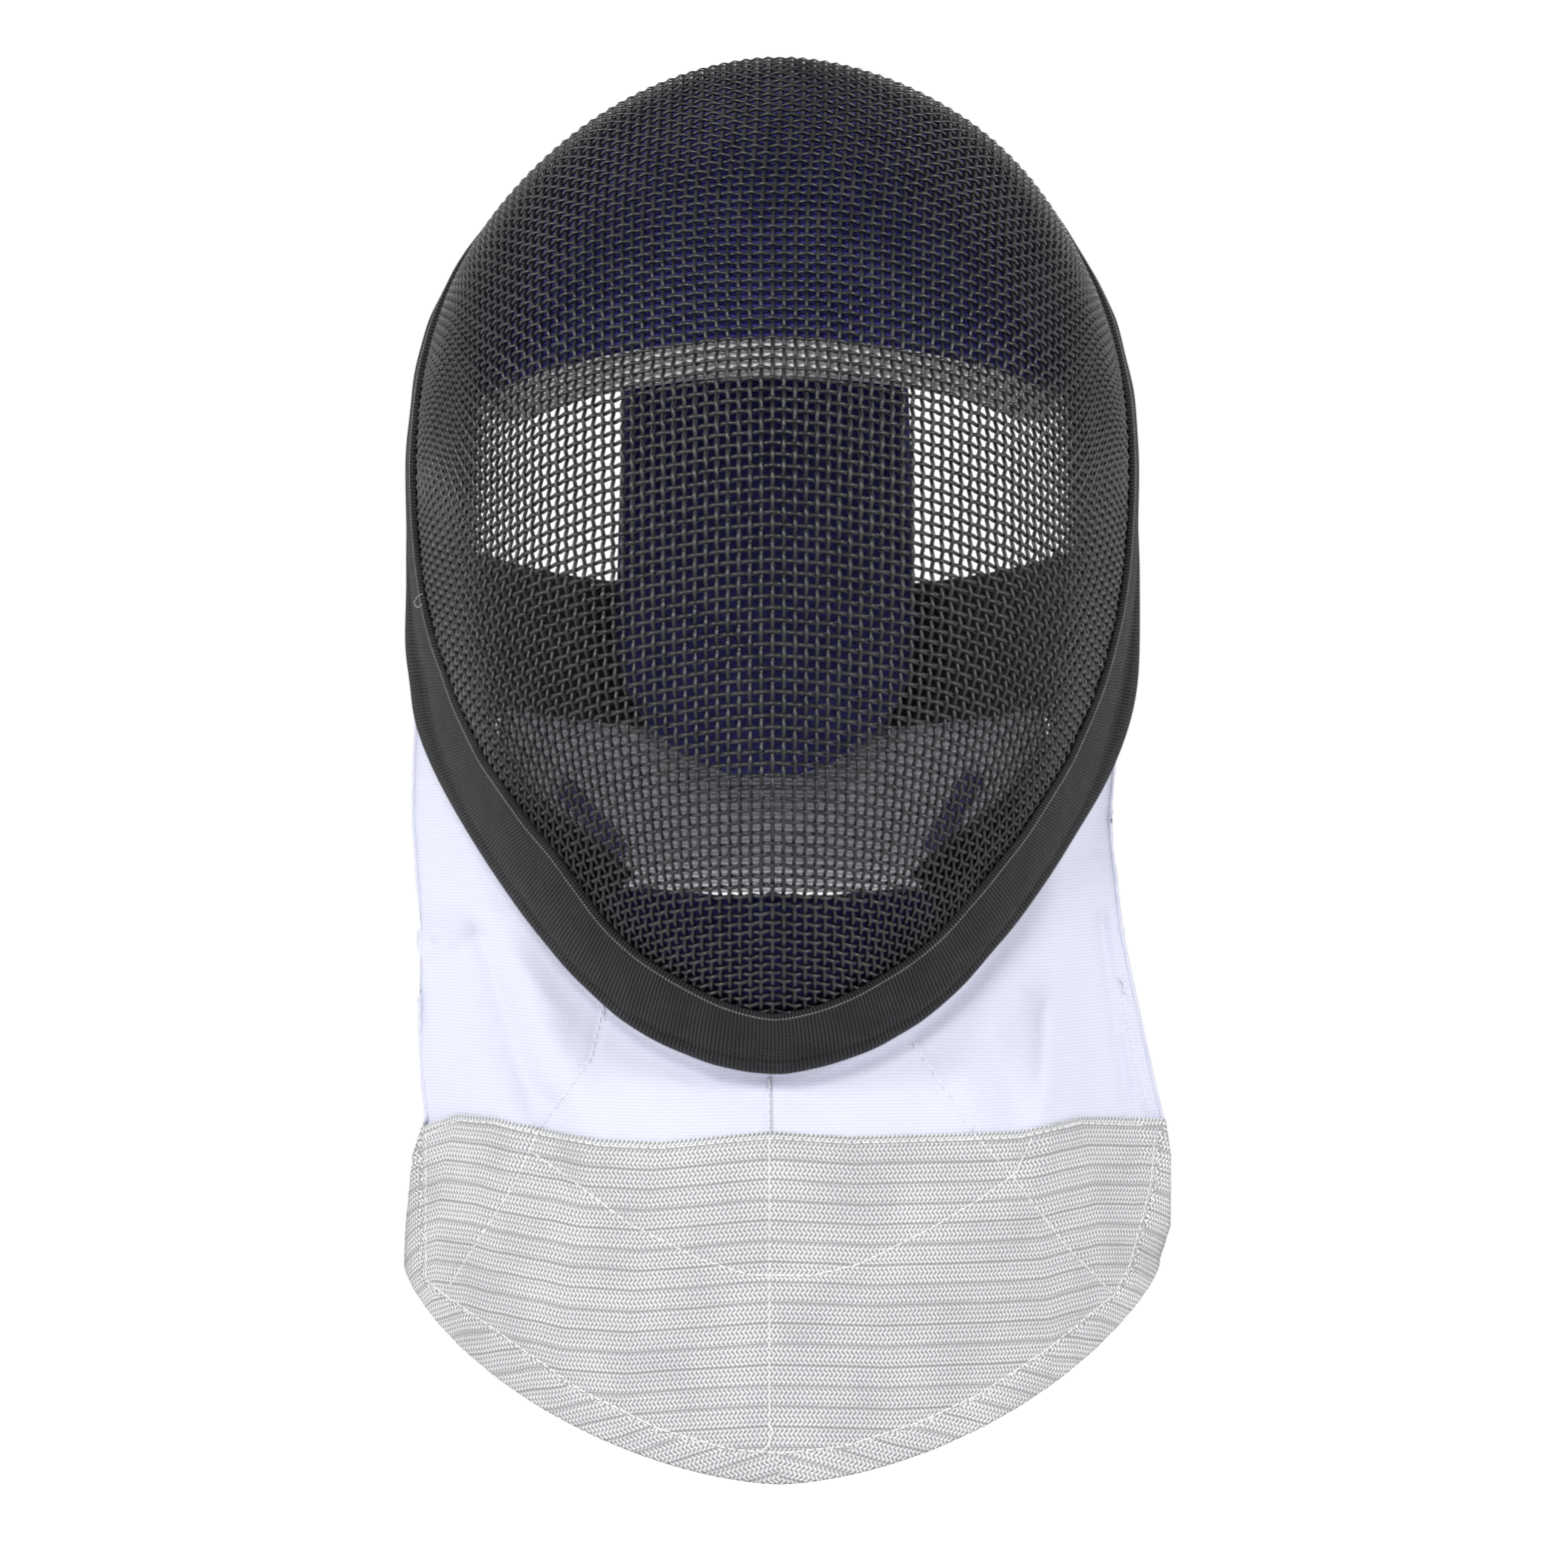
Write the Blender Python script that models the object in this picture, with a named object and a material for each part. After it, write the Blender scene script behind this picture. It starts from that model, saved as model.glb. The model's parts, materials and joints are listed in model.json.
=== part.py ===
"""Fencing mask for foil: wire cage with a centre ridge, elastic rim, bib, pads, straps and tongue.

Lengths are in metres. The mask faces -Y and stands upright, +X is on the right of someone looking
at its front. The origin is the seat inside the crown, where the top of the head bears.
"""

import math

import bmesh
import bpy
import numpy as np

MM = 0.001

# Driving sizes of the cage.
CAGE_DEPTH = 198 * MM
CAGE_HEIGHT = 292.5 * MM
CAGE_HALF_WIDTH = 106.6 * MM
CHIN_BELOW_EYES = 80 * MM
MESH_WALL = 2.0 * MM
SEWN_GAP = 0.3 * MM
PAD_REST = 1.1 * MM
EDGE_GAP = 0.6 * MM
SEAT_BACK = 116 * MM
SEAT_UP = 196 * MM
RIDGE_ROUNDNESS_FRONT = 1.66
RIDGE_ROUNDNESS_BACK = 1.92
CROWN_FULLNESS_FRONT = 2.0
CROWN_FULLNESS_BACK = 2.45
JAW_FULLNESS = 1.80

# One row per step back from the front ridge. The step is the square root of the depth share.
# Heights are shares of CAGE_HEIGHT above the chin, widths shares of CAGE_HALF_WIDTH.
SECTION_COLUMNS = ("step", "top", "bottom", "middle", "half_width")
CAGE_SECTIONS = (
    (0.000, 0.479, 0.315, 0.403, 0.000),
    (0.071, 0.550, 0.260, 0.405, 0.075),
    (0.142, 0.600, 0.224, 0.409, 0.160),
    (0.213, 0.646, 0.185, 0.417, 0.272),
    (0.302, 0.706, 0.142, 0.427, 0.425),
    (0.383, 0.766, 0.101, 0.444, 0.566),
    (0.466, 0.831, 0.055, 0.465, 0.700),
    (0.555, 0.895, -0.014, 0.492, 0.814),
    (0.636, 0.942, -0.070, 0.516, 0.884),
    (0.752, 0.994, -0.164, 0.550, 0.968),
    (0.826, 1.003, -0.246, 0.571, 0.997),
    (0.870, 1.000, -0.301, 0.581, 1.004),
    (0.940, 0.982, -0.393, 0.591, 1.004),
    (1.000, 0.948, -0.462, 0.598, 0.994),
    (1.060, 0.896, -0.520, 0.602, 0.975),
)

# The edge of the cage seen from the side.
RIM_COLUMNS = ("height", "depth")
RIM_LINE = (
    (-0.20, 0.200),
    (0.000, 0.288),
    (0.048, 0.333),
    (0.123, 0.394),
    (0.198, 0.478),
    (0.277, 0.578),
    (0.359, 0.664),
    (0.458, 0.726),
    (0.585, 0.772),
    (0.691, 0.813),
    (0.776, 0.864),
    (0.862, 0.919),
    (0.923, 0.970),
    (0.944, 1.000),
    (1.020, 1.090),
)

# Elastic binding folded round the edge.
BAND_WALL = 1.6 * MM
BAND_FRONT = 21 * MM
BAND_BACK = 8 * MM
BAND_ROLL = 2.6 * MM

# Width of its front face by turn from the top ridge, as shares of BAND_FRONT.
BAND_COLUMNS = ("turn", "width")
BAND_WIDTHS = (
    (0, 0.70),
    (60, 1.00),
    (85, 1.25),
    (105, 1.35),
    (125, 1.40),
    (145, 1.22),
    (165, 1.04),
    (180, 1.00),
)

# Pads and linings sewn inside the cage.
PAD_THICK = 10 * MM
LINING_THICK = 6 * MM
PAD_LIP = 1.6 * MM
LINING_WIDTH = 30 * MM
PAD_FROM_RIM = 10 * MM
FOREHEAD_EDGE_UP = 124.5 * MM
FOREHEAD_EDGE_FALL = 10 * MM
FOREHEAD_BACK = 0.905
EDGE_BAND_TALL = 11 * MM
EDGE_BAND_THICK = 4 * MM
CHIN_EDGE_DOWN = 34 * MM
CHIN_EDGE_RISE = 3 * MM

# Bib and its conductive lower half.
BIB_WALL = 2.0 * MM
LAME_WALL = 1.5 * MM
BIB_HALF_WIDTH = 107 * MM
BIB_BOTTOM = 195 * MM
BIB_CORNER = 136 * MM
BIB_FRONT_CENTRE = 42 * MM
BIB_FRONT_SIDE = 96 * MM
BIB_SIDE_SWELL = 22 * MM
BIB_THROAT_SWELL = 16 * MM
BIB_EAR_TURN = 96.0
LAME_REST = 1.0 * MM
LAME_TOP = 97 * MM
LAME_TOP_SAG = 3 * MM

# How far the free side edges stray from straight, by height below the eyes.
SWAY_COLUMNS = ("down", "left", "right")
SIDE_SWAY = (
    (-46 * MM, 0.0 * MM, 0.0 * MM),
    (0 * MM, -0.2 * MM, -5.4 * MM),
    (10 * MM, 0.0 * MM, -6.8 * MM),
    (43 * MM, 3.4 * MM, -4.2 * MM),
    (80 * MM, 4.2 * MM, 2.6 * MM),
    (98 * MM, 6.6 * MM, 6.4 * MM),
    (108 * MM, 3.6 * MM, 7.6 * MM),
    (128 * MM, 2.0 * MM, 7.0 * MM),
    (137 * MM, 1.8 * MM, 3.8 * MM),
    (195 * MM, 0.0 * MM, 0.0 * MM),
)

# Back straps: depth where they leave the lining, furthest reach, and heights above the eyes.
STRAP_WALL = 2.2 * MM
STRAP_CENTRE = np.array([0.0, 0.085])
STRAP_COLUMNS = ("name", "span", "near", "reach", "low", "high", "low_rise", "high_rise")
STRAPS = (
    ("back_strap", 90.3 * MM, 0.596 * CAGE_DEPTH, 1.0606 * CAGE_DEPTH, 15 * MM, 61 * MM, 6 * MM, 8 * MM),
    ("neck_strap", 78.4 * MM, 0.490 * CAGE_DEPTH, 1.0303 * CAGE_DEPTH, -31 * MM, 13 * MM, 25 * MM, 3 * MM),
)
TAB_LONG = 27 * MM
TAB_WIDE = 6 * MM
TAB_WALL = 1.8 * MM
TAB_REST = 0.7 * MM
TAB_OUT = 54 * MM
TABS = (("strap_tab_right", 1, -9 * MM, 28), ("strap_tab_left", -1, -11 * MM, 38))

# Tongue.
TONGUE_HALF_WIDTH = 46 * MM
TONGUE_TOP_HALF = 42 * MM
TONGUE_FOOT = 2 * MM
TONGUE_HEAD = 152 * MM
TONGUE_BACK = CAGE_DEPTH - 6 * MM
TONGUE_THICK = 9 * MM
TONGUE_EDGE = 3 * MM
TONGUE_CUP = 9 * MM
TONGUE_LEAN = 3 * MM
TONGUE_ASIDE = -2 * MM
SPRING_HALF_WIDTH = 12 * MM
SPRING_WALL = 1.5 * MM
SPRING_FOOT_FROM = 0.8283 * CAGE_DEPTH
SPRING_FOOT_TO = 0.8990 * CAGE_DEPTH
SPRING_BEND = 10 * MM
SPRING_REST = 0.7 * MM
SPRING_BLADE_OVER = 8 * MM
SPRING_BLADE_LOW = 60 * MM

# Steps of the meshes.
COLUMNS_ROUND = 60
ROWS_DEEP = 15


def column(table, names, name):
    """One named column of a table as an array."""
    return np.array([row[names.index(name)] for row in table], float)


def smooth_curve(knots, values):
    """Monotone cubic through the knots, straight beyond both ends."""
    step = np.diff(knots)
    slope = np.diff(values) / step
    tangent = np.zeros(len(knots))
    tangent[0], tangent[-1] = slope[0], slope[-1]
    for i in range(1, len(knots) - 1):
        if slope[i - 1] * slope[i] > 0:
            a = 2 * step[i] + step[i - 1]
            b = step[i] + 2 * step[i - 1]
            tangent[i] = (a + b) / (a / slope[i - 1] + b / slope[i])

    def value(at):
        at = np.asarray(at, float)
        inside = np.clip(at, knots[0], knots[-1])
        i = np.clip(np.searchsorted(knots, inside, side="right") - 1, 0, len(knots) - 2)
        t = (inside - knots[i]) / step[i]
        curve = (
            (2 * t**3 - 3 * t**2 + 1) * values[i]
            + (t**3 - 2 * t**2 + t) * step[i] * tangent[i]
            + (3 * t**2 - 2 * t**3) * values[i + 1]
            + (t**3 - t**2) * step[i] * tangent[i + 1]
        )
        beyond = np.where(at > knots[-1], (at - knots[-1]) * tangent[-1], 0.0)
        before = np.where(at < knots[0], (at - knots[0]) * tangent[0], 0.0)
        return curve + beyond + before

    return value


def section_curve(name, scale, lift=0.0):
    """A column of the cage sections as a smooth function of the step."""
    steps = column(CAGE_SECTIONS, SECTION_COLUMNS, "step")
    return smooth_curve(steps, column(CAGE_SECTIONS, SECTION_COLUMNS, name) * scale + lift)


TOP = section_curve("top", CAGE_HEIGHT, -CHIN_BELOW_EYES)
BOTTOM = section_curve("bottom", CAGE_HEIGHT, -CHIN_BELOW_EYES)
MIDDLE = section_curve("middle", CAGE_HEIGHT, -CHIN_BELOW_EYES)
HALF_WIDTH = section_curve("half_width", CAGE_HALF_WIDTH)
RIM_DEPTH = smooth_curve(
    column(RIM_LINE, RIM_COLUMNS, "height") * CAGE_HEIGHT - CHIN_BELOW_EYES,
    column(RIM_LINE, RIM_COLUMNS, "depth") * CAGE_DEPTH,
)


def cage_point(step, turn):
    """Point of the cage's outer face: step back from the ridge, turn in degrees from the top ridge."""
    step, turn = np.broadcast_arrays(np.asarray(step, float), np.radians(np.asarray(turn, float)))
    share = np.clip(step, 0.0, 1.0)
    roundness = RIDGE_ROUNDNESS_FRONT + (RIDGE_ROUNDNESS_BACK - RIDGE_ROUNDNESS_FRONT) * share
    side, up = np.sin(turn), np.cos(turn)
    x = HALF_WIDTH(step) * np.sign(side) * np.abs(side) ** (2 / roundness)
    middle = MIDDLE(step)
    crown = CROWN_FULLNESS_FRONT + (CROWN_FULLNESS_BACK - CROWN_FULLNESS_FRONT) * share
    rise = np.where(up >= 0, TOP(step) - middle, middle - BOTTOM(step))
    z = middle + rise * np.sign(up) * np.abs(up) ** np.where(up >= 0, 2 / crown, 2 / JAW_FULLNESS)
    y = CAGE_DEPTH * step**2
    return np.stack([x, y, z], axis=-1)


def cage_normal(step, turn):
    """Unit normal of the cage, facing out."""
    step = np.maximum(np.asarray(step, float), 0.03)
    along = cage_point(step + 0.012, turn) - cage_point(step - 0.012, turn)
    across = cage_point(step, np.asarray(turn) + 2.5) - cage_point(step, np.asarray(turn) - 2.5)
    normal = np.cross(across, along)
    return normal / np.linalg.norm(normal, axis=-1, keepdims=True)


def cage_offset(step, turn, out):
    """Point at a distance out from the cage's outer face, inwards when negative."""
    out = np.asarray(out, float)
    return cage_point(step, turn) + cage_normal(step, turn) * out[..., None]


def solve_step(test, turn, low, high):
    """Step between low and high where the test changes sign, one for each turn."""
    turn = np.asarray(turn, float)
    low = np.full(turn.shape, float(low))
    high = np.full(turn.shape, float(high))
    for _ in range(40):
        middle = (low + high) / 2
        past = test(cage_point(middle, turn)) > 0
        high = np.where(past, middle, high)
        low = np.where(past, low, middle)
    return (low + high) / 2


def rim_step(turn):
    """Step at which the cage ends, for each turn."""
    return solve_step(lambda p: p[..., 1] - RIM_DEPTH(p[..., 2]), turn, 0.3, 1.05)


def step_in_from_rim(turn, width):
    """Step that lies the given width in from the rim, measured square to the rim."""
    turn = np.asarray(turn, float)
    edge = rim_step(turn)
    along = cage_point(edge + 0.004, turn) - cage_point(edge - 0.004, turn)
    per_step = np.linalg.norm(along, axis=-1) / 0.008
    ahead = cage_point(rim_step(turn + 1.0), turn + 1.0)
    behind = cage_point(rim_step(turn - 1.0), turn - 1.0)
    rim = ahead - behind
    rim /= np.linalg.norm(rim, axis=-1, keepdims=True)
    along /= np.linalg.norm(along, axis=-1, keepdims=True)
    square = np.sqrt(np.clip(1 - np.sum(rim * along, axis=-1) ** 2, 0.3, 1.0))
    return edge - width / (per_step * square)


def plain_material(name, color, roughness, metallic=0.0):
    """A Principled finish with one colour."""
    material = bpy.data.materials.new(name)
    material.use_nodes = True
    shader = material.node_tree.nodes["Principled BSDF"]
    shader.inputs["Base Color"].default_value = (*color, 1.0)
    shader.inputs["Roughness"].default_value = roughness
    shader.inputs["Metallic"].default_value = metallic
    return material


def make_node(name, points, faces, material):
    """A closed body from points about the front ridge, moved to the seat in the crown."""
    mesh = bpy.data.meshes.new(name)
    seat = np.array([0.0, SEAT_BACK, SEAT_UP])
    mesh.from_pydata((np.asarray(points) - seat).tolist(), [], faces)
    body = bmesh.new()
    body.from_mesh(mesh)
    bmesh.ops.remove_doubles(body, verts=body.verts, dist=2e-6)
    bmesh.ops.dissolve_degenerate(body, edges=body.edges, dist=1e-6)
    bmesh.ops.triangulate(body, faces=body.faces)
    bmesh.ops.recalc_face_normals(body, faces=body.faces)
    body.to_mesh(mesh)
    body.free()
    mesh.materials.append(material)
    for face in mesh.polygons:
        face.use_smooth = True
    node = bpy.data.objects.new(name, mesh)
    bpy.context.scene.collection.objects.link(node)
    return node


def grid_faces(rows, columns, start, closed):
    """Quads of a grid of points, closed round the columns if asked."""
    faces = []
    for r in range(rows - 1):
        for c in range(columns if closed else columns - 1):
            n = (c + 1) % columns
            a = start + r * columns
            faces.append((a + c, a + n, a + columns + n, a + columns + c))
    return faces


def slab(name, front, back, material, closed=False):
    """A closed wall between two grids of points of the same shape, rows by columns."""
    rows, columns = front.shape[:2]
    count = rows * columns
    points = np.concatenate([front.reshape(-1, 3), back.reshape(-1, 3)])
    faces = grid_faces(rows, columns, 0, closed)
    faces += [tuple(reversed(face)) for face in grid_faces(rows, columns, count, closed)]
    edges = [[(r * columns + c) for c in range(columns)] for r in (0, rows - 1)]
    if not closed:
        edges += [[(r * columns + c) for r in range(rows)] for c in (0, columns - 1)]
    for edge in edges:
        pairs = list(zip(edge, edge[1:] + edge[:1] if closed else edge[1:]))
        faces += [(a, b, b + count, a + count) for a, b in pairs]
    return make_node(name, points, faces, material)


def tube(name, rings, material, closed):
    """A swept body: rings by ring points, closed into a loop or capped at both ends."""
    count, around = rings.shape[:2]
    faces = []
    for i in range(count if closed else count - 1):
        j = (i + 1) % count
        for k in range(around):
            n = (k + 1) % around
            faces.append((i * around + k, i * around + n, j * around + n, j * around + k))
    if not closed:
        faces.append(tuple(range(around)))
        faces.append(tuple((count - 1) * around + k for k in reversed(range(around))))
    return make_node(name, rings.reshape(-1, 3), faces, material)


def make_wire_mesh():
    """The cage as a thin wall that ends on the ridge line at the front."""
    turn = np.linspace(0, 360, COLUMNS_ROUND, endpoint=False)
    edge = rim_step(np.where(turn > 180, 360 - turn, turn))
    share = np.linspace(0, 1, ROWS_DEEP)[1:] ** 0.72
    step = share[:, None] * edge[None, :]
    turns = np.broadcast_to(turn, step.shape)
    count = len(share)
    outer = cage_offset(step, turns, np.zeros(step.shape))
    inner = cage_offset(step, turns, np.full(step.shape, -MESH_WALL))
    ridge_turn = turn[: COLUMNS_ROUND // 2 + 1]
    ridge_out = cage_point(np.zeros(len(ridge_turn)), ridge_turn)
    ridge_in = ridge_out + np.array([0.0, MESH_WALL, 0.0])
    points = np.concatenate([g.reshape(-1, 3) for g in (outer, inner, ridge_out, ridge_in)])
    half = count * COLUMNS_ROUND
    faces = grid_faces(count, COLUMNS_ROUND, 0, True)
    faces += [tuple(reversed(face)) for face in grid_faces(count, COLUMNS_ROUND, half, True)]
    for first, ridge in ((0, 2 * half), (half, 2 * half + len(ridge_turn))):
        for c in range(COLUMNS_ROUND):
            n = (c + 1) % COLUMNS_ROUND
            near = min(c, COLUMNS_ROUND - c)
            far = min(n, COLUMNS_ROUND - n)
            faces.append((first + c, first + n, ridge + far, ridge + near))
    last = (count - 1) * COLUMNS_ROUND
    for c in range(COLUMNS_ROUND):
        n = (c + 1) % COLUMNS_ROUND
        faces.append((last + c, last + n, half + last + n, half + last + c))
    paint = plain_material("mesh paint", (0.055, 0.058, 0.062), 0.42, 0.5)
    return make_node("wire_mesh", points, faces, paint)


def band_front(turn):
    """Width of the binding on the front face, wide at the jaw and narrow over the crown."""
    turns = column(BAND_WIDTHS, BAND_COLUMNS, "turn")
    return smooth_curve(turns, column(BAND_WIDTHS, BAND_COLUMNS, "width") * BAND_FRONT)(turn)


def make_rim_binding():
    """Elastic folded round the edge: a front leg, a rolled edge and a back leg, round the loop."""
    turn = np.linspace(0, 360, COLUMNS_ROUND, endpoint=False)
    fold = np.where(turn > 180, 360 - turn, turn)
    wide = band_front(fold)
    inside = PAD_REST + MESH_WALL
    roll = BAND_ROLL
    profile = (
        (wide, SEWN_GAP),
        (wide, SEWN_GAP + BAND_WALL * 0.55),
        (wide * 0.86, SEWN_GAP + BAND_WALL),
        (wide * 0.5, SEWN_GAP + BAND_WALL * 1.35),
        (wide * 0.12, SEWN_GAP + BAND_WALL * 1.2),
        (-roll * 0.75, BAND_WALL * 0.4),
        (-roll, -MESH_WALL * 0.5),
        (-roll * 0.7, -inside - BAND_WALL * 0.75),
        (BAND_BACK * 0.3, -inside - BAND_WALL),
        (BAND_BACK, -inside - BAND_WALL),
        (BAND_BACK, -inside),
        (BAND_BACK * 0.4, -inside),
        (-EDGE_GAP, -inside),
        (-EDGE_GAP, SEWN_GAP),
        (wide * 0.25, SEWN_GAP),
        (wide * 0.5, SEWN_GAP),
        (wide * 0.75, SEWN_GAP),
    )
    rings = []
    for width, out in profile:
        step = step_in_from_rim(fold, np.broadcast_to(width, fold.shape))
        rings.append(cage_offset(step, turn, np.full(turn.shape, out)))
    rings = np.stack(rings, axis=1)
    cloth = plain_material("binding elastic", (0.035, 0.035, 0.038), 0.85)
    return tube("rim_binding", rings, cloth, closed=True)


def pad_profile(share, thick, lip):
    """Thickness across a pad, full in the middle and thin at both edges."""
    edge = np.clip(np.minimum(share, 1 - share) / 0.22, 0, 1)
    return lip + (thick - lip) * np.sqrt(1 - (1 - edge) ** 2)


def make_pad(name, turn, near, far, rows, thick, material, ends=True):
    """A pad on the inside of the cage between two steps, for a run of turns."""
    share = np.linspace(0, 1, rows)
    step = near[None, :] + (far - near)[None, :] * share[:, None]
    turns = np.broadcast_to(turn, step.shape)
    across = np.linspace(0, 1, len(turn))
    body = pad_profile(share, thick, PAD_LIP)[:, None] * np.ones(len(turn))[None, :]
    if ends:
        taper = np.clip(np.minimum(across, 1 - across) / 0.09, 0, 1)
        body = PAD_LIP + (body - PAD_LIP) * np.sqrt(1 - (1 - taper) ** 2)[None, :]
    rest = -(MESH_WALL + PAD_REST)
    front = cage_offset(step, turns, np.full(step.shape, rest))
    back = cage_offset(step, turns, rest - body)
    return slab(name, front, back, material)


def forehead_edge(point, drop=0.0):
    """Positive above the arched lower edge of the forehead pad."""
    arch = FOREHEAD_EDGE_FALL * (point[..., 0] / (75 * MM)) ** 2
    return point[..., 2] - (FOREHEAD_EDGE_UP - drop - arch)


def make_forehead_pad(material):
    """Navy pad from the arched edge over the forehead to the back of the crown."""
    turn = np.linspace(-72, 72, 25)
    near = solve_step(forehead_edge, turn, 0.02, 0.97)
    stop = np.minimum(FOREHEAD_BACK, step_in_from_rim(np.abs(turn), PAD_FROM_RIM * np.ones(25)))
    return make_pad("forehead_pad", turn, near, stop, 9, PAD_THICK, material)


def make_edge_band():
    """Light grey band that edges the forehead pad from below."""
    turn = np.linspace(-71, 71, 25)
    near = solve_step(lambda p: forehead_edge(p, EDGE_BAND_TALL), turn, 0.0, 0.97)
    far = solve_step(lambda p: forehead_edge(p, 0.5 * MM), turn, 0.0, 0.97)
    grey = plain_material("edge band", (0.50, 0.51, 0.52), 0.9)
    return make_pad("pad_edge_band", turn, near, far, 4, EDGE_BAND_THICK, grey)


def make_side_lining(name, side, material):
    """Dark lining inside the cheek, from below the forehead pad to the chin pad."""
    turn = np.linspace(74.5, 139.0, 13)
    width = LINING_WIDTH * np.ones(13)
    near = step_in_from_rim(turn, width)
    far = step_in_from_rim(turn, PAD_FROM_RIM * np.ones(13))
    return make_pad(name, side * turn, near, far, 5, LINING_THICK, material)


def make_chin_pad(material):
    """Navy pad inside the chin, with a nearly level upper edge."""
    turn = np.linspace(141.0, 219.0, 17)
    fold = np.where(turn > 180, 360 - turn, turn)

    def below(point):
        rise = CHIN_EDGE_RISE * (point[..., 0] / (50 * MM)) ** 2
        return -CHIN_EDGE_DOWN + rise - point[..., 2]

    edge = step_in_from_rim(fold, PAD_FROM_RIM * np.ones(17))
    near = np.minimum(solve_step(below, turn, 0.02, 0.7), edge - 0.05)
    return make_pad("chin_pad", turn, near, edge, 6, PAD_THICK * 0.8, material)


def bib_attachment(turn):
    """Line behind the rolled edge of the binding from which the bib hangs."""
    turn = np.asarray(turn, float)
    fold = np.where(turn > 180, 360 - turn, turn)
    step = step_in_from_rim(fold, np.full(turn.shape, -BAND_ROLL - SEWN_GAP - 0.2 * MM))
    return cage_offset(step, turn, np.full(turn.shape, -1.2 * MM))


# Folds of the bib: from and to as shares across and down, then width and height of the fold.
FOLD_COLUMNS = ("from_x", "from_z", "to_x", "to_z", "width", "height")
BIB_FOLD_TALL = 115 * MM
BIB_FOLDS = (
    (-0.80, -0.34, -0.58, -0.93, 0.060, -0.0040),
    (-0.93, -0.40, -0.78, -0.32, 0.050, 0.0030),
    (-0.70, -0.45, -0.47, -0.95, 0.090, 0.0030),
    (0.74, -0.55, 0.72, -0.95, 0.050, 0.0035),
    (0.86, -0.20, 0.90, -0.95, 0.070, -0.0030),
    (0.50, -0.75, 0.62, -1.05, 0.080, 0.0022),
)


def fold_height(points):
    """How far the folds lift the bib at each point."""
    x = points[..., 0] / BIB_HALF_WIDTH
    z = points[..., 2] / BIB_FOLD_TALL
    lift = np.zeros(x.shape)
    for ax, az, bx, bz, width, height in BIB_FOLDS:
        run = np.array([bx - ax, bz - az])
        share = ((x - ax) * run[0] + (z - az) * run[1]) / (run @ run)
        near = np.clip(share, 0, 1)
        away = np.hypot(x - ax - near * run[0], z - az - near * run[1])
        lift += height * np.exp(-((away / width) ** 2))
    return lift


def side_sway(points, side):
    """Sideways stray of the bib at each point, strongest at the free edges."""
    down = column(SIDE_SWAY, SWAY_COLUMNS, "down")
    left = np.interp(-points[..., 2], down, column(SIDE_SWAY, SWAY_COLUMNS, "left"))
    right = np.interp(-points[..., 2], down, column(SIDE_SWAY, SWAY_COLUMNS, "right"))
    return np.where(side < 0, left, right) * np.abs(side) ** 4


def bib_lines(columns):
    """Top and bottom points of the bib's fall lines, ear to ear, with each line's place across."""
    turn = np.linspace(BIB_EAR_TURN, 360 - BIB_EAR_TURN, columns)
    across = (180 - turn) / (180 - BIB_EAR_TURN)
    start = bib_attachment(turn)
    side = np.sign(across) * np.sin(np.radians(np.abs(across) * 90)) ** 0.88
    curl = 1 - (1 - np.abs(side) ** 1.6) ** 0.62
    hem_z = -BIB_BOTTOM + (BIB_BOTTOM - BIB_CORNER) * curl
    hem_y = BIB_FRONT_CENTRE + (BIB_FRONT_SIDE - BIB_FRONT_CENTRE) * np.abs(side) ** 2.2
    hem = np.stack([BIB_HALF_WIDTH * side, hem_y, hem_z], axis=-1)
    return start, hem, side


def bib_rows(start, hem, side, share):
    """Points of the bib's outer face at shares down each fall line, rows by lines."""
    share = share[..., None]
    points = start[None] * (1 - share) + hem[None] * share
    out = np.stack([BIB_SIDE_SWELL * side, -BIB_THROAT_SWELL * (1 - side**2), np.zeros(len(side))], axis=-1)
    ease = 1 - 0.95 * np.abs(side)[None, :, None] ** 3
    points = points + share * (1 - share) * ease * out[None]
    points[..., 0] += side_sway(points, side[None, :])
    points[..., 1] -= fold_height(points) * np.clip(share[..., 0] / 0.12, 0, 1)
    return points


def lame_share(start, hem, side):
    """Share down each fall line at which the conductive cloth begins."""
    level = -LAME_TOP - LAME_TOP_SAG * (1 - side**2)
    return (start[:, 2] - level) / (start[:, 2] - hem[:, 2])


def sheet_slab(name, outer, wall, material, lift=0.0):
    """A cloth wall behind a grid of points, along the grid's own normals."""
    down = np.gradient(outer, axis=0)
    across = np.gradient(outer, axis=1)
    normal = np.cross(across, down)
    normal /= np.linalg.norm(normal, axis=-1, keepdims=True)
    normal = np.where(normal[..., 1:2] > 0, -normal, normal)
    return slab(name, outer + normal * lift, outer + normal * (lift - wall), material)


def make_bib():
    """White throat bib from the binding to just above the hem."""
    white = plain_material("bib cloth", (0.80, 0.80, 0.88), 0.9)
    start, hem, side = bib_lines(33)
    share = np.linspace(0, 0.985, 13)[:, None] * np.ones(33)
    return sheet_slab("bib", bib_rows(start, hem, side, share), BIB_WALL, white)


def make_lame_bib():
    """Conductive cloth over the lower half of the bib, level along its upper edge."""
    silver = plain_material("lame cloth", (0.60, 0.61, 0.60), 0.55, 0.2)
    start, hem, side = bib_lines(33)
    top = lame_share(start, hem, side)
    share = top[None, :] + (1 - top)[None, :] * np.linspace(0, 1, 8)[:, None]
    outer = bib_rows(start, hem, side, share)
    return sheet_slab("lame_bib", outer, LAME_WALL, silver, LAME_WALL + LAME_REST)


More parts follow.
